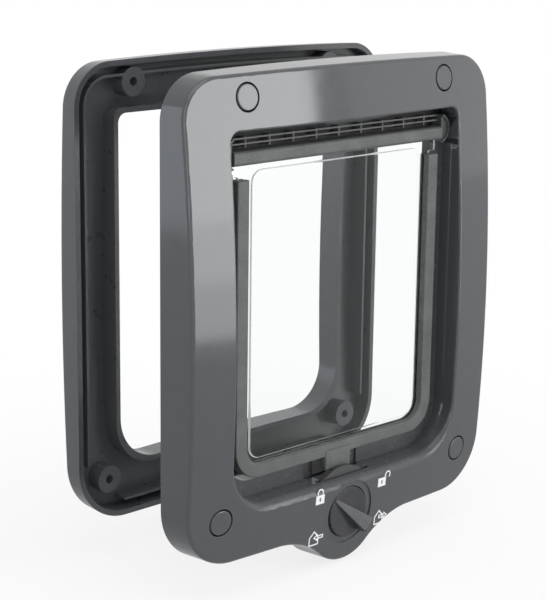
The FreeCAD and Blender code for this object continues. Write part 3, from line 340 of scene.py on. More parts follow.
@dataclass(frozen=True)
class ZincSteel:
    """Turned steel with bright zinc: fine rings of the tool and a slightly milky sheen."""

    name: str
    colour: str = "#b9babb"
    dull: str = "#8f9193"
    line_mm: float = 0.4
    roughness: float = 0.3
    patch_mm: float = 1.8
    line_height_mm: float = 0.02

    def make(self) -> bpy.types.Material:
        """Builds the material.

        Returns:
            The material.
        """
        material, tree, output = new_material(self.name)
        place = add_node(tree, "ShaderNodeTexCoord")
        lines = add_node(tree, "ShaderNodeTexWave",
                         {"wave_type": "BANDS", "bands_direction": "Y"}, {
                             "Vector": place.outputs["Object"],
                             "Scale": 1.0 / (self.line_mm * MM) / 20.0,
                             "Distortion": 1.5, "Detail": 2.0})
        patch = add_node(tree, "ShaderNodeTexNoise", None, {
            "Vector": place.outputs["Object"], "Scale": 1.0 / (self.patch_mm * MM)})
        tint = blend_colours(tree, patch.outputs["Fac"], self.dull, self.colour)
        bump = add_node(tree, "ShaderNodeBump", None, {
            "Height": lines.outputs["Fac"], "Strength": 0.2,
            "Distance": self.line_height_mm * MM})
        shader = add_node(tree, "ShaderNodeBsdfPrincipled", None, {
            "Base Color": tint, "Metallic": 1.0,
            "Roughness": self.roughness, "Normal": bump.outputs["Normal"]})
        tree.links.new(shader.outputs[0], output.inputs[0])
        return material


@dataclass(frozen=True)
class PrintInk:
    """Pad printed ink: flat off white with a trace of the plastic showing through."""

    name: str
    colour: str = "#ececec"
    thin: str = "#cfcfd0"
    mottle_mm: float = 0.9

    def make(self) -> bpy.types.Material:
        """Builds the material.

        Returns:
            The material.
        """
        material, tree, output = new_material(self.name)
        place = add_node(tree, "ShaderNodeTexCoord")
        mottle = add_node(tree, "ShaderNodeTexNoise", None, {
            "Vector": place.outputs["Object"], "Scale": 1.0 / (self.mottle_mm * MM),
            "Detail": 3.0})
        tint = blend_colours(tree, mottle.outputs["Fac"], self.thin, self.colour)
        shader = add_node(tree, "ShaderNodeBsdfPrincipled", None, {
            "Base Color": tint, "Roughness": 0.45, "IOR": 1.5})
        tree.links.new(shader.outputs[0], output.inputs[0])
        return material


class Side(Enum):
    """Which way a curved face looks."""

    ROOM = -1.0
    OUTDOORS = 1.0


@dataclass(frozen=True)
class CurvedFace:
    """A face that bows both ways, as a turned surface, in millimetres."""

    crest: float
    crest_height: float
    bow: float
    crown: float
    side: Side

    def depth(self, x: float, z: float) -> float:
        """The y of the face at a place.

        Args:
            x: across, in millimetres.
            z: height, in millimetres.

        Returns:
            y in millimetres.
        """
        sign = self.side.value
        rise = z - self.crest_height
        reach = self.crest - sign * (self.bow - math.sqrt(self.bow ** 2 - rise ** 2))
        pivot = self.crest - sign * self.crown
        radius = abs(reach - pivot)
        return pivot + sign * math.sqrt(radius ** 2 - x ** 2)

    def normal(self, x: float, z: float) -> Vector:
        """The outward direction of the face at a place.

        Args:
            x: across, in millimetres.
            z: height, in millimetres.

        Returns:
            A unit vector.
        """
        step = 0.5
        across = (self.depth(x + step, z) - self.depth(x - step, z)) / (2.0 * step)
        rise = (self.depth(x, z + step) - self.depth(x, z - step)) / (2.0 * step)
        return (Vector((-across, 1.0, -rise)) * self.side.value).normalized()


def true_normals(piece: bpy.types.Object, face: CurvedFace, sharp: float) -> None:
    """Shades a curved face by its exact slope, so that highlights run clean.

    Args:
        piece: the shell, with its weighted normals as a modifier.
        face: the curved face.
        sharp: the angle from which edges stay sharp.
    """
    holder = piece.evaluated_get(bpy.context.evaluated_depsgraph_get())
    shaded = holder.to_mesh()
    normals = [corner.vector.copy() for corner in shaded.corner_normals]
    holder.to_mesh_clear()
    piece.modifiers.clear()
    mesh = piece.data
    limit = math.cos(math.radians(sharp))
    for polygon in mesh.polygons:
        for corner in polygon.loop_indices:
            x, y, z = mesh.vertices[mesh.loops[corner].vertex_index].co / MM
            if abs(face.depth(x, z) - y) < ON_FACE_MM:
                slope = face.normal(x, z)
                if polygon.normal.dot(slope) > limit:
                    normals[corner] = slope
    mesh.normals_split_custom_set(normals)


FRONT_FACE = CurvedFace(-24.3, -18.0, 950.0, 1045.0, Side.ROOM)
REAR_FACE = CurvedFace(75.8, -10.0, 1400.0, 1045.0, Side.OUTDOORS)


def object_from(bm: bmesh.types.BMesh, name: str, material: bpy.types.Material,
                body: str) -> bpy.types.Object:
    """Finishes a bmesh as a piece that rides on a body.

    Args:
        bm: the shape, in metres in the row's frame.
        name: the piece's name.
        material: its finish.
        body: the body that it moves with.

    Returns:
        The new object.
    """
    mesh = bpy.data.meshes.new(name)
    bm.to_mesh(mesh)
    bm.free()
    mesh.materials.append(material)
    piece = bpy.data.objects.new(name, mesh)
    bpy.context.scene.collection.objects.link(piece)
    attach(piece, body)
    LOG.info("%s: %d faces on %s", name, len(mesh.polygons), body)
    return piece


def smooth_by_angle(bm: bmesh.types.BMesh, degrees: float) -> None:
    """Marks faces smooth and edges above an angle sharp.

    Args:
        bm: the shape.
        degrees: the angle from which an edge stays sharp.
    """
    limit = math.radians(degrees)
    for face in bm.faces:
        face.smooth = True
    for edge in bm.edges:
        edge.smooth = len(edge.link_faces) == 2 and edge.calc_face_angle(0.0) < limit


def weigh_normals(piece: bpy.types.Object) -> None:
    """Lets large faces lead the shading at their borders.

    Args:
        piece: the piece, with its sharp edges marked.
    """
    weighted = piece.modifiers.new("WeightedNormal", "WEIGHTED_NORMAL")
    weighted.keep_sharp = True
    weighted.weight = 60


def refined_copy(node: str, name: str, material: bpy.types.Material, body: str,
                 sharp: float = 32.0,
                 cuts: Sequence[tuple[Vector, Vector]] = (),
                 face: Optional[CurvedFace] = None,
                 bevel_mm: float = 0.0, segments: int = 2,
                 reshape: Optional[Callable[[bmesh.types.BMesh], None]] = None
                 ) -> bpy.types.Object:
    """Stands a merged, finely shaded piece in for a CAD node.

    Args:
        node: the CAD node that the piece stands for.
        name: the piece's name.
        material: its finish.
        body: the body that it moves with.
        sharp: the angle from which edges stay sharp.
        cuts: planes, as a point and a normal, that divide large faces.
        face: a curved face that nearby vertices are brought exactly onto.
        bevel_mm: a rounding for sharp edges, or 0.
        segments: the rounding's segments.
        reshape: a change to the merged shape, made first.

    Returns:
        The new object.
    """
    bm = bmesh.new()
    bm.from_mesh(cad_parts[node].data)
    bmesh.ops.remove_doubles(bm, verts=bm.verts, dist=MERGE_DISTANCE)
    if reshape is not None:
        reshape(bm)
    if bevel_mm:
        bmesh.ops.dissolve_limit(bm, angle_limit=FLAT_ANGLE, verts=bm.verts,
                                 edges=bm.edges)
        hard = [edge for edge in bm.edges if len(edge.link_faces) == 2
                and edge.calc_face_angle(0.0) > HARD_ANGLE]
        bmesh.ops.bevel(bm, geom=hard, offset=bevel_mm * MM, offset_type="OFFSET",
                        segments=segments, profile=0.5, affect="EDGES",
                        clamp_overlap=True, material=-1)
    for point, normal in cuts:
        geometry = bm.verts[:] + bm.edges[:] + bm.faces[:]
        bmesh.ops.bisect_plane(bm, geom=geometry, dist=MERGE_DISTANCE,
                               plane_co=point, plane_no=normal)
    if face is not None:
        bm.normal_update()
        for vertex in bm.verts:
            x, y, z = (c / MM for c in vertex.co)
            depth = face.depth(x, z)
            if abs(depth - y) < SNAP_MM and vertex.link_faces:
                slope = face.normal(x, z)
                follows = min(slope.dot(patch.normal) for patch in vertex.link_faces)
                if follows > SNAP_ALIGNMENT:
                    vertex.co.y = depth * MM
    smooth_by_angle(bm, sharp)
    piece = object_from(bm, name, material, body)
    weigh_normals(piece)
    if face is not None:
        true_normals(piece, face, sharp)
    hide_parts(node)
    return piece


def plane_row(axis: int, low: float, high: float,
              step: float) -> list[tuple[Vector, Vector]]:
    """Evenly spaced cutting planes across one axis.

    Args:
        axis: 0 for X, 1 for Y, 2 for Z.
        low: the first plane, in millimetres.
        high: the last plane, in millimetres.
        step: the spacing, in millimetres.

    Returns:
        Points and normals.
    """
    normal = Vector((0.0, 0.0, 0.0))
    normal[axis] = 1.0
    count = int((high - low) / step)
    planes = []
    for number in range(count + 1):
        point = Vector((0.0, 0.0, 0.0))
        point[axis] = (low + number * step) * MM
        planes.append((point, normal))
    return planes


def plane_grid(half: float, low: float, high: float,
               step: float) -> list[tuple[Vector, Vector]]:
    """Cutting planes across X and Z that divide a large face.

    Args:
        half: the last plane in X, in millimetres from the middle.
        low: the first plane in Z, in millimetres.
        high: the last plane in Z, in millimetres.
        step: the spacing, in millimetres.

    Returns:
        Points and normals.
    """
    return plane_row(0, -half, half, step) + plane_row(2, low, high, step)


def dress(nodes: Iterable[str], material: bpy.types.Material) -> None:
    """Gives CAD nodes a finish.

    Args:
        nodes: the nodes' names.
        material: the finish.
    """
    for name in nodes:
        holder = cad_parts[name]
        if not holder.material_slots:
            holder.data.materials.append(material)
        for slot in holder.material_slots:
            slot.material = material
        LOG.info("%s keeps its solid, dressed as %s", name, material.name)


def finish_index(piece: bpy.types.Object, material: bpy.types.Material) -> int:
    """Finds a finish among those of a piece, and adds it if it is new there.

    Args:
        piece: the piece.
        material: the finish.

    Returns:
        The finish's index on the piece.
    """
    names = [slot.name for slot in piece.data.materials]
    if material.name not in names:
        piece.data.materials.append(material)
        names.append(material.name)
    return names.index(material.name)


def paint_zone(piece: bpy.types.Object, material: bpy.types.Material,
               zone: Zone) -> None:
    """Gives the faces inside a box another finish.

    Args:
        piece: the piece, in metres.
        material: the finish for the zone.
        zone: the box's lowest and highest corner, in millimetres.
    """
    low, high = (Vector(corner) for corner in zone)
    index = finish_index(piece, material)
    for polygon in piece.data.polygons:
        middle = polygon.center / MM
        if all(low[axis] <= middle[axis] <= high[axis] for axis in range(3)):
            polygon.material_index = index


@dataclass
class Finishes:
    """All finishes of the object, made once."""

    gloss: bpy.types.Material = field(init=False)
    rear_gloss: bpy.types.Material = field(init=False)
    spark: bpy.types.Material = field(init=False)
    clear: bpy.types.Material = field(init=False)
    steel: bpy.types.Material = field(init=False)
    magnet: bpy.types.Material = field(init=False)
    satin: bpy.types.Material = field(init=False)
    frosted_highlight: bpy.types.Material = field(init=False)
    inside: bpy.types.Material = field(init=False)
    reveal: bpy.types.Material = field(init=False)
    knob: bpy.types.Material = field(init=False)
    painted_shade: bpy.types.Material = field(init=False)
    ink: bpy.types.Material = field(init=False)

    def __post_init__(self) -> None:
        """Makes the materials."""
        self.gloss = GlossAbs("gloss_abs_grey", "#484a4d", "#434548").make()
        self.rear_gloss = GlossAbs("gloss_abs_grey_outdoor", "#46484b", "#414346",
                                   roughness=0.2).make()
        self.spark = SparkAbs("spark_abs_grey", "#5d5f5e", "#3c3e3d").make()
        self.clear = ClearSheet("clear_polycarbonate").make()
        self.steel = ZincSteel("zinc_steel").make()
        self.magnet = ZincSteel("nickel_magnet", "#a5a5a4", "#8a8a88",
                                roughness=0.22).make()
        self.satin = SparkAbs("satin_acetal_black", "#3a3b3c", "#2c2d2e",
                              grain_mm=0.8, grain_height_mm=0.03,
                              roughness=0.42).make()
        self.frosted_highlight = FrostedEdgeHighlight("frosted_polycarbonate_edge_highlight").make()
        self.inside = GlossAbs("semi_matt_abs_inside", "#4b4d4f", "#464849",
                               roughness=0.32, specular=0.3).make()
        self.reveal = GlossAbs("semi_gloss_abs_reveal", "#484a4d", "#434548",
                               roughness=0.24, specular=0.3).make()
        self.knob = GlossAbs("satin_abs_knob", "#38393c", "#333437", roughness=0.25,
                             ripple_height_mm=0.01, specular=0.3).make()
        # The near black colour is painted shade for the strip's hollow, the notch, the cap
        # bores and the tab pocket, on a real matt spark eroded grain.
        self.painted_shade = SparkAbs("matt_abs_painted_shade", "#1a1b1c", "#121314",
                               grain_height_mm=0.04, roughness=0.7).make()
        self.ink = PrintInk("pad_print_white").make()


@dataclass
class RoomFrame:
    """The room side frame with its caps, screws and tab pocket, in millimetres."""

    grid: float = 9.0
    grid_half: float = 94.5
    grid_low: float = -126.0
    grid_high: float = 99.0
    cap_round: float = 0.45
    cap_share: float = 0.945
    bore_reach: float = 6.7
    bore_start: float = 0.45
    corners: Sequence[str] = ("top_left", "top_right", "bottom_left", "bottom_right")
    pocket_half: float = 11.0
    pocket_wall: float = 2.4
    pocket_floor: float = -88.8
    pocket_top: float = -79.0
    pocket_start: float = -1.0
    pocket_depth: float = 12.5
    pocket_round: float = 0.4
    reveal_depth: float = 2.6
    lip_depth: float = 0.12
    lip_top: float = -76.0
    screw_point: float = 4.0
    screw_cut: float = 5.5
    reveal_zone: Zone = ((-71.5, -24.0, -92.5), (71.5, 0.5, 80.0))
    strip_shade_zone: Zone = ((-74.0, -13.5, 58.0), (74.0, -1.0, 75.4))
    notch_shade_zone: Zone = ((-12.6, -17.0, -92.0), (12.6, 0.6, -79.0))

    def shade_reveal(self, shell: bpy.types.Object, finishes: Finishes) -> None:
        """Gives the walls and sill inside the opening their duller finish.

        Args:
            shell: the frame's shell.
            finishes: the shared finishes.
        """
        low, high = (Vector(corner) for corner in self.reveal_zone)
        index = finish_index(shell, finishes.reveal)
        for polygon in shell.data.polygons:
            x, y, z = polygon.center / MM
            inside = all(low[axis] < (x, y, z)[axis] < high[axis] for axis in range(3))
            start = self.lip_depth if z < self.lip_top else self.reveal_depth
            if inside and y - FRONT_FACE.depth(x, z) > start:
                polygon.material_index = index

    def shade_bore(self, shell: bpy.types.Object, corner: str,
                   finishes: Finishes) -> None:
        """Paints a cap's bore near black as painted shade, on the matt spark eroded grain.

        Args:
            shell: the frame's shell.
            corner: which cap.
            finishes: the shared finishes.
        """
        low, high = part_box("screw_cap_" + corner)
        middle = (Vector(low) + Vector(high)) / 2.0 / MM
        # The bore's near black colour is painted shade.
        index = finish_index(shell, finishes.painted_shade)
        for polygon in shell.data.polygons:
            x, y, z = polygon.center / MM
            away = math.hypot(x - middle.x, z - middle.z)
            sunk = y - FRONT_FACE.depth(x, z) > self.bore_start
            if away < self.bore_reach and sunk and y < high[1] / MM:
                polygon.material_index = index

    def free_cap(self, bm: bmesh.types.BMesh) -> None:
        """Draws a cap's rim in, so that its ring shows as dark as in the photo.

        Args:
            bm: the merged cap.
        """
        middle = Vector((0.0, 0.0, 0.0))
        for axis in (0, 2):
            reach = [vertex.co[axis] for vertex in bm.verts]
            middle[axis] = (min(reach) + max(reach)) / 2.0
        bmesh.ops.scale(bm, vec=(self.cap_share, 1.0, self.cap_share),
                        space=Matrix.Translation(-middle), verts=bm.verts)

    def shorten_screw(self, bm: bmesh.types.BMesh) -> None:
        """Draws a screw's tip back, because the photo shows none behind the frame.

        Args:
            bm: the merged screw.
        """
        tip = max(vertex.co.y for vertex in bm.verts)
        moved = [v for v in bm.verts if v.co.y > tip - self.screw_point * MM]
        bmesh.ops.translate(bm, verts=moved, vec=(0.0, -self.screw_cut * MM, 0.0))

    def strike_pocket(self, finishes: Finishes) -> None:
        """Makes the open topped pocket behind the notch that the tab hangs in, finished
        near black as painted shade.

        Args:
            finishes: the shared finishes.
        """
        wall = self.pocket_wall
        half = self.pocket_half
        floor = self.pocket_floor
        bm = bmesh.new()
        section = [(-half - wall, self.pocket_top), (-half - wall, floor - wall),
                   (half + wall, floor - wall), (half + wall, self.pocket_top),
                   (half, self.pocket_top), (half, floor), (-half, floor),
                   (-half, self.pocket_top)]
        plate = bm.faces.new([bm.verts.new((x, self.pocket_start, z))
                              for x, z in section])
        grown = bmesh.ops.extrude_face_region(bm, geom=[plate])
        bmesh.ops.translate(bm, verts=[item for item in grown["geom"]
                                       if isinstance(item, bmesh.types.BMVert)],
                            vec=(0.0, self.pocket_depth, 0.0))
        bmesh.ops.recalc_face_normals(bm, faces=bm.faces)
        bmesh.ops.bevel(bm, geom=bm.edges[:], offset=self.pocket_round,
                        offset_type="OFFSET", segments=2, profile=0.5,
                        affect="EDGES", clamp_overlap=True, material=-1)
        bmesh.ops.scale(bm, vec=(MM, MM, MM), verts=bm.verts)
        smooth_by_angle(bm, 35.0)
        # The pocket's near black finish is painted shade.
        piece = object_from(bm, "tab_pocket", finishes.painted_shade, "front_unit")
        weigh_normals(piece)

    def build(self, finishes: Finishes) -> None:
        """Makes the frame's pieces.

        Args:
            finishes: the shared finishes.
        """
        cuts = plane_grid(self.grid_half, self.grid_low, self.grid_high, self.grid)
        shell = refined_copy("front_frame", "room_frame_shell", finishes.gloss,
                             "front_unit", sharp=34.0, cuts=cuts,
                             face=FRONT_FACE)
        self.shade_reveal(shell, finishes)
        # The strip's back wall and the notch are painted near black as painted shade.
        paint_zone(shell, finishes.painted_shade, self.strip_shade_zone)
        paint_zone(shell, finishes.painted_shade, self.notch_shade_zone)
        self.strike_pocket(finishes)
        for corner in self.corners:
            refined_copy("screw_cap_" + corner, "cover_cap_" + corner,
                         finishes.gloss, "front_unit", sharp=28.0,
                         bevel_mm=self.cap_round, segments=3,
                         reshape=self.free_cap)
            self.shade_bore(shell, corner, finishes)
            refined_copy("clamp_screw_" + corner, "long_screw_" + corner,
                         finishes.steel, "front_unit", sharp=30.0,
                         reshape=self.shorten_screw)
        dress(["cover_screws", "detent_spring"], finishes.steel)
        dress(["sill_magnet"], finishes.magnet)
        dress(["lock_cover"], finishes.satin)


@dataclass
class Flap:
    """The clear flap with its textured bar and band, in millimetres."""

    pane_bevel: float = 0.45
    pane_corner: float = 6.0
    edge_slope: float = 0.9
    pane_rise: float = 2.4

    def raise_pane(self, bm: bmesh.types.BMesh) -> None:
        """Lifts the raised pane's top edge close under the bar.

        Args:
            bm: the merged clear sheet.
        """
        proud = min(vertex.co.y for vertex in bm.verts)
        slack = SLACK_MM * MM
        pane = [v for v in bm.verts if v.co.y < proud + slack]
        top = max(v.co.z for v in pane)
        half = max(v.co.x for v in pane) + slack
        low = top - (self.pane_corner + SLACK_MM) * MM
        moved = [v for v in bm.verts if low < v.co.z < top + slack
                 and abs(v.co.x) < half]
        bmesh.ops.translate(bm, verts=moved, vec=(0.0, 0.0, self.pane_rise * MM))

    def build(self, finishes: Finishes) -> None:
        """Makes the flap's pieces.

        Args:
            finishes: the shared finishes.
        """
        sheet = refined_copy("flap_panel", "clear_flap", finishes.clear, "flap",
                             sharp=30.0, bevel_mm=self.pane_bevel,
                             segments=3, reshape=self.raise_pane)
        # The sheet's edge faces get a white colour as painted highlight, over a rougher
        # finish.
        index = finish_index(sheet, finishes.frosted_highlight)
        for polygon in sheet.data.polygons:
            if abs(polygon.normal.y) < self.edge_slope:
                polygon.material_index = index
        refined_copy("hinge_bar", "flap_hinge_bar", finishes.spark, "flap",
                     sharp=30.0)
        refined_copy("flap_band", "flap_u_band", finishes.spark, "flap",
                     sharp=30.0)
        dress(["pivot_pin_left", "pivot_pin_right"], finishes.steel)
        dress(["tab_magnet"], finishes.magnet)


@dataclass
class HingeStrip:
    """The fixed strip of rails and ribs over the flap, in millimetres."""

    cup_start: float = 66.6
    cup_end: float = 73.0
    cup_front: float = -14.0
    cup_back: float = -3.0
    cup_low: float = 60.0
    cup_high: float = 76.0

    def build(self, finishes: Finishes) -> None:
        """Makes the strip and gives its end cups their own finish.

        Args:
            finishes: the shared finishes.
        """
        strip = refined_copy("hinge_grille", "rail_strip", finishes.spark,
                             "front_unit", sharp=30.0)
        for side in (-1.0, 1.0):
            near, far = sorted((side * self.cup_start, side * self.cup_end))
            paint_zone(strip, finishes.inside,
                       ((near, self.cup_front, self.cup_low),
                        (far, self.cup_back, self.cup_high)))


@dataclass
class SettingDial:
    """The knob and the lock works that it turns, in millimetres."""

    axis_height: float = -106.0
    grip_share: float = 0.88
    grip_depth: float = 4.9
    grip_round: float = 0.7

    def shorten_grip(self, bm: bmesh.types.BMesh) -> None:
        """Draws the grip's long end in, as in the photo.

        Args:
            bm: the merged knob.
        """
        front = min(vertex.co.y for vertex in bm.verts)
        axis = Vector((0.0, 0.0, self.axis_height * MM))
        for vertex in bm.verts:
            if vertex.co.y < front + self.grip_depth * MM:
                away = vertex.co - axis
                vertex.co.x = axis.x + away.x * self.grip_share
                vertex.co.z = axis.z + away.z * self.grip_share

    def build(self, finishes: Finishes) -> None:
        """Makes the dial's pieces.

        Args:
            finishes: the shared finishes.
        """
        refined_copy("dial_knob", "setting_knob", finishes.knob, "dial",
                     sharp=50.0, bevel_mm=self.grip_round, segments=3,
                     reshape=self.shorten_grip)
        dress(["dial_shaft", "front_lock_disc", "disc_spacer", "rear_lock_disc"],
              finishes.satin)
        dress(["dial_screw"], finishes.steel)


@dataclass
class OutdoorFrame:
    """The hollow frame for the far side of the door, in millimetres."""

    grid: float = 11.0
    grid_half: float = 93.5
    grid_low: float = -104.5
    grid_high: float = 98.0
    wall: float = 1.2
    rim_start: float = 58.6
    outer_half: float = 88.0
    outer_top: float = 94.0
    outer_bottom: float = -101.0
    inward_share: float = 0.5

    def shade_inside(self, shell: bpy.types.Object, finishes: Finishes) -> None:
        """Gives the hollow that faces the door its matter finish.

        Args:
            shell: the outdoor frame's shell.
            finishes: the shared finishes.
        """
        index = finish_index(shell, finishes.inside)
        for polygon in shell.data.polygons:
            x, y, z = polygon.center / MM
            edge = abs(x) > self.outer_half or not self.outer_bottom < z < self.outer_top
            outwards = polygon.normal.x * x + polygon.normal.z * z
            passage = not edge and outwards < -self.inward_share * math.hypot(x, z)
            hollow = y > self.rim_start and REAR_FACE.depth(x, z) - y > self.wall
            if hollow and not passage and not (edge and outwards > 0.0):
                polygon.material_index = index

    def build(self, finishes: Finishes) -> None:
        """Makes the outdoor frame.

        Args:
            finishes: the shared finishes.
        """
        cuts = plane_grid(self.grid_half, self.grid_low, self.grid_high, self.grid)
        shell = refined_copy("rear_frame", "outdoor_frame_shell", finishes.rear_gloss,
                             "rear", sharp=30.0, cuts=cuts,
                             face=REAR_FACE)
        self.shade_inside(shell, finishes)


class Sign(Enum):
    """The four printed settings."""

    CLOSED = "closed_padlock"
    OPEN = "open_padlock"
    IN = "house_arrow_in"
    OUT = "house_arrow_out"


HOUSE = ((-3.4, -3.7), (2.8, -3.7), (2.8, 0.6), (-0.3, 3.7), (-3.4, 0.6))
ARROW_OUT = ((-0.4, -0.9), (3.1, -0.9), (3.1, -1.9), (5.7, 0.0), (3.1, 1.9),
             (3.1, 0.9), (-0.4, 0.9))
ARROW_IN = ((5.6, -0.9), (5.6, 0.9), (2.0, 0.9), (2.0, 1.9), (-0.6, 0.0),
            (2.0, -1.9), (2.0, -0.9))


@dataclass
class Pictograms:
    """The signs printed round the dial, in millimetres."""

    places: dict[Sign, Point] = field(default_factory=lambda: {
        Sign.CLOSED: (-19.9, -92.8), Sign.OPEN: (22.0, -94.0),
        Sign.IN: (-21.6, -114.1), Sign.OUT: (22.4, -114.5)})
    lock_width: float = 5.4
    lock_height: float = 4.4
    lock_drop: float = 0.2
    keyhole_half: float = 0.45
    keyhole_inset: float = 0.74
    shackle_radius: float = 1.95
    shackle_segments: int = 28
    shackle_lift: float = 1.0
    swing_degrees: float = 14.0
    swing_shift: Place = (3.7, 0.0, -0.1)
    stroke: float = 0.66
    arrow_share: float = 0.85
    ink_height: float = 0.06
    film_share: float = 0.8
    reach: float = 60.0

    def outline(self, bm: bmesh.types.BMesh, points: Sequence[Point],
                stroke: float) -> None:
        """Adds a closed line of even width.

        Args:
            bm: the shape that it goes into, flat in X and Z.
            points: the corners, in order.
            stroke: the line's width.
        """
        corners = [bm.verts.new((x, 0.0, z)) for x, z in points]
        plate = bm.faces.new(corners)
        plate.normal_update()
        bmesh.ops.inset_region(bm, faces=[plate], thickness=stroke,
                               use_boundary=True, use_even_offset=True)
        bmesh.ops.delete(bm, geom=[plate], context="FACES_ONLY")

    def padlock(self, bm: bmesh.types.BMesh, swung: bool) -> None:
        """Adds a padlock with a keyhole, its shackle shut or swung aside.

        Args:
            bm: the shape that it goes into.
            swung: whether the shackle stands open.
        """
        half = self.lock_width / 2.0
        top = -self.lock_drop
        low = -self.lock_height - self.lock_drop
        middle = (low - self.lock_drop) / 2.0
        corners = [bm.verts.new((x, 0.0, z)) for x, z in
                   ((-half, low), (half, low), (half, top), (-half, top))]
        plate = bm.faces.new(corners)
        plate.normal_update()
        bmesh.ops.inset_region(bm, faces=[plate], thickness=half * self.keyhole_inset,
                               use_boundary=True, use_even_offset=True)
        for vertex in plate.verts:
            way = 1.0 if vertex.co.z > middle else -1.0
            vertex.co.x = math.copysign(self.keyhole_half, vertex.co.x)
            vertex.co.z = middle + way * self.keyhole_half * 2.0
        bmesh.ops.delete(bm, geom=[plate], context="FACES_ONLY")
        rings = []
        for radius in (self.shackle_radius, self.shackle_radius - self.stroke):
            made = bmesh.ops.create_circle(bm, segments=self.shackle_segments,
                                           radius=radius)
            bmesh.ops.rotate(bm, verts=made["verts"], cent=(0, 0, 0),
                             matrix=Matrix.Rotation(math.pi / 2.0, 3, "X"))
            rings.append(made["verts"])
        edges = [edge for ring in rings for vertex in ring
                 for edge in vertex.link_edges]
        joined = bmesh.ops.bridge_loops(bm, edges=list(set(edges)))
        band = set(joined["faces"])
        ring_verts = {vertex for face in band for vertex in face.verts}
        for vertex in ring_verts:
            if vertex.co.z < 0.0:
                vertex.co.z = 0.0
        bmesh.ops.translate(bm, verts=[v for v in ring_verts if v.co.z > SLACK_MM],
                            vec=(0.0, 0.0, self.shackle_lift))
        if swung:
            turned = Matrix.Rotation(math.radians(self.swing_degrees), 3, "Y")
            bmesh.ops.translate(bm, verts=list(ring_verts), vec=self.swing_shift)
            bmesh.ops.rotate(bm, verts=list(ring_verts), cent=(half, 0, 0),
                             matrix=turned)

    def house(self, bm: bmesh.types.BMesh, outwards: bool) -> None:
        """Adds a house outline with an outlined arrow through its side.

        Args:
            bm: the shape that it goes into.
            outwards: whether the arrow points away from the house.
        """
        arrow = ARROW_OUT if outwards else ARROW_IN
        self.outline(bm, HOUSE, self.stroke)
        self.outline(bm, arrow, self.stroke * self.arrow_share)

    def sign(self, kind: Sign) -> bmesh.types.BMesh:
        """Draws one sign flat round the origin.

        Args:
            kind: which sign.

        Returns:
            The flat shape, in millimetres.
        """
        bm = bmesh.new()
        if kind in (Sign.CLOSED, Sign.OPEN):
            self.padlock(bm, kind is Sign.OPEN)
        else:
            self.house(bm, kind is Sign.OUT)
        return bm

    def build(self, finishes: Finishes) -> None:
        """Prints the signs over the curved face.

        Each point lies at the unrounded face's depth, or at the shell's where that
        is nearer the room. So a print stands off where the shell rounds away.

        Args:
            finishes: the shared finishes.
        """
        shell = bmesh.new()
        shell.from_mesh(bpy.data.objects["room_frame_shell"].data)
        face = BVHTree.FromBMesh(shell, epsilon=0.0005 * MM)
        shell.free()
        for kind, (x, z) in self.places.items():
            bm = self.sign(kind)
            loose = [v for v in bm.verts if not v.link_faces]
            bmesh.ops.delete(bm, geom=loose, context="VERTS")
            for vertex in bm.verts:
                vertex.co.x += x
                vertex.co.z += z
                start = Vector((vertex.co.x, -self.reach, vertex.co.z)) * MM
                struck = face.ray_cast(start, Vector((0.0, 1.0, 0.0)))[0]
                depth = FRONT_FACE.depth(vertex.co.x, vertex.co.z)
                if struck is not None:
                    depth = min(depth, struck.y / MM)
                vertex.co.y = depth - self.ink_height
            bmesh.ops.recalc_face_normals(bm, faces=bm.faces)
            if sum(patch.normal.y for patch in bm.faces) > 0.0:
                bmesh.ops.reverse_faces(bm, faces=bm.faces)
            bmesh.ops.scale(bm, vec=(MM, MM, MM), verts=bm.verts)
            piece = object_from(bm, "print_" + kind.value, finishes.ink,
                                "front_unit")
            film = piece.modifiers.new("Solidify", "SOLIDIFY")
            film.thickness = self.ink_height * self.film_share * MM
            film.offset = -1.0


@dataclass(frozen=True)
class SoftBox:
    """An area lamp: degrees from -Y towards +X and upwards, then metres and watts."""

    name: str
    azimuth: float
    elevation: float
    distance: float
    width: float
    height: float
    power: float
    tint: str = "#ffffff"


SOFT_BOXES = (
    SoftBox("key_box", 28.9, 5.6, 1.6, 0.7, 1.165, 9.3),
    SoftBox("key_box_middle", 28.9, 8.0, 1.59, 0.7, 0.978, 2.7),
    SoftBox("key_box_upper", 28.9, 10.75, 1.58, 0.7, 0.813, 2.2),
    SoftBox("side_box", 61.0, 11.0, 1.6, 0.9, 0.8, 1.15),
    SoftBox("edge_strip", -42.0, 14.0, 1.6, 0.14, 1.1, 3.2),
    SoftBox("top_box", -20.0, 68.0, 1.6, 1.4, 1.2, 8.5),
    SoftBox("left_box", -125.0, 8.0, 1.6, 0.8, 1.0, 3.3, "#dfe8f4"),
)


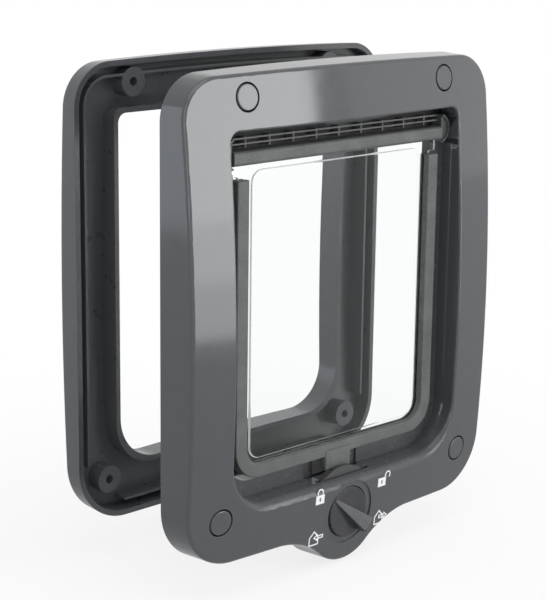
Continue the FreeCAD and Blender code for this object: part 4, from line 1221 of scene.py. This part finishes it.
@dataclass
class Studio:
    """Floor, lamps, sky and camera, in metres."""

    eye: Vector = field(default_factory=lambda: Vector((-0.55895, -0.54777, 0.17839)))
    right: Vector = field(default_factory=lambda: Vector((0.72227, -0.6915, 0.01222)))
    down: Vector = field(
        default_factory=lambda: Vector((-0.15157, -0.17551, -0.97274)))
    ahead: Vector = field(default_factory=lambda: Vector((0.6748, 0.70073, -0.23158)))
    focal_px: float = 1729.7
    image_height: float = 600.0
    sensor_mm: float = 36.0
    clip_start: float = 0.05
    target: Vector = field(default_factory=lambda: Vector((0.0, -0.01, 0.0)))
    ambient: float = 0.62
    low_mirror: float = 0.64
    paper_glow: float = 0.8
    shade_near: float = 0.16
    shade_far: float = 0.42
    mirror_low: float = -0.4
    mirror_high: float = -0.1
    floor_half: float = 4.0
    floor_gap: float = 0.0005

    def camera(self) -> None:
        """Places the camera as in the photo."""
        data = bpy.data.cameras.new("camera")
        data.sensor_fit = "VERTICAL"
        data.sensor_height = self.sensor_mm
        data.lens = self.focal_px / self.image_height * self.sensor_mm
        data.clip_start = self.clip_start
        holder = bpy.data.objects.new("camera", data)
        turn = Matrix((self.right, -self.down, -self.ahead)).transposed().to_4x4()
        holder.matrix_world = Matrix.Translation(self.eye) @ turn
        bpy.context.scene.collection.objects.link(holder)
        bpy.context.scene.camera = holder

    def lamp(self, box: SoftBox) -> None:
        """Adds a soft box that faces the object.

        Args:
            box: the lamp.
        """
        data = bpy.data.lights.new(box.name, "AREA")
        data.shape = "RECTANGLE"
        data.size = box.width
        data.size_y = box.height
        data.energy = box.power
        data.color = linear(box.tint)[:3]
        holder = bpy.data.objects.new(box.name, data)
        turn = math.radians(box.azimuth)
        rise = math.radians(box.elevation)
        offset = Vector((math.sin(turn) * math.cos(rise),
                         -math.cos(turn) * math.cos(rise), math.sin(rise)))
        holder.location = self.target + offset * box.distance
        holder.rotation_euler = (-offset).to_track_quat("-Z", "Y").to_euler()
        bpy.context.scene.collection.objects.link(holder)

    def sky(self) -> None:
        """A white surround: full for what is seen, dimmer as light on the object."""
        world = bpy.data.worlds.new("surround")
        bpy.context.scene.world = world
        world.use_nodes = True
        tree = world.node_tree
        tree.nodes.clear()
        path = add_node(tree, "ShaderNodeLightPath")
        place = add_node(tree, "ShaderNodeTexCoord")
        heading = add_node(tree, "ShaderNodeSeparateXYZ", None, {
            0: place.outputs["Generated"]})
        mirrored = add_node(tree, "ShaderNodeMapRange", None, {
            "Value": heading.outputs["Z"], "From Min": self.mirror_low,
            "From Max": self.mirror_high, "To Min": self.low_mirror,
            "To Max": 1.0})
        ambient = add_node(tree, "ShaderNodeMix", None, {
            0: path.outputs["Is Glossy Ray"], 2: self.ambient,
            3: mirrored.outputs["Result"]})
        seen = seen_directly(tree, path)
        strength = add_node(tree, "ShaderNodeMix", None, {
            0: seen, 2: ambient.outputs[0], 3: 1.0})
        shade = add_node(tree, "ShaderNodeBackground", None, {
            "Color": linear("#ffffff"), "Strength": strength.outputs[0]})
        output = add_node(tree, "ShaderNodeOutputWorld")
        tree.links.new(shade.outputs[0], output.inputs[0])

    def floor(self) -> None:
        """A pale floor under the lowest point of the object."""
        bm = bmesh.new()
        bmesh.ops.create_grid(bm, x_segments=1, y_segments=1, size=self.floor_half)
        bmesh.ops.translate(bm, verts=bm.verts,
                            vec=(0.0, 0.0, CAD_BOX[0][2] - self.floor_gap))
        mesh = bpy.data.meshes.new("floor")
        bm.to_mesh(mesh)
        bm.free()
        material, tree, output = new_material("white_paper_sweep")
        path = add_node(tree, "ShaderNodeLightPath")
        place = add_node(tree, "ShaderNodeTexCoord")
        reach = add_node(tree, "ShaderNodeVectorMath", {"operation": "LENGTH"}, {
            0: place.outputs["Object"]})
        fade = add_node(tree, "ShaderNodeMapRange", {"interpolation_type": "SMOOTHSTEP"},
                        {"Value": reach.outputs["Value"], "From Min": self.shade_near,
                         "From Max": self.shade_far, "To Min": self.paper_glow,
                         "To Max": 1.0})
        seen = seen_directly(tree, path)
        share = add_node(tree, "ShaderNodeMath", {"operation": "MULTIPLY"}, {
            0: seen, 1: fade.outputs["Result"]})
        paper = add_node(tree, "ShaderNodeBsdfDiffuse", None, {
            "Color": linear("#f4f4f4")})
        white = add_node(tree, "ShaderNodeEmission", None, {
            "Color": linear("#ffffff"), "Strength": 1.0})
        mixed = add_node(tree, "ShaderNodeMixShader", None, {
            0: share.outputs[0], 1: paper.outputs[0], 2: white.outputs[0]})
        tree.links.new(mixed.outputs[0], output.inputs[0])
        mesh.materials.append(material)
        holder = bpy.data.objects.new("floor", mesh)
        holder.visible_glossy = False
        bpy.context.scene.collection.objects.link(holder)

    def build(self) -> None:
        """Sets up the whole studio."""
        bpy.context.scene.view_settings.view_transform = "Standard"
        self.sky()
        self.floor()
        for box in SOFT_BOXES:
            self.lamp(box)
        self.camera()


def main() -> None:
    """Builds the whole scene in order."""
    logging.basicConfig(level=logging.INFO, format="%(message)s")
    finishes = Finishes()
    for part in (RoomFrame(), HingeStrip(), Flap(), SettingDial(), OutdoorFrame(),
                 Pictograms()):
        part.build(finishes)
    Studio().build()


if __name__ == "__main__":
    main()
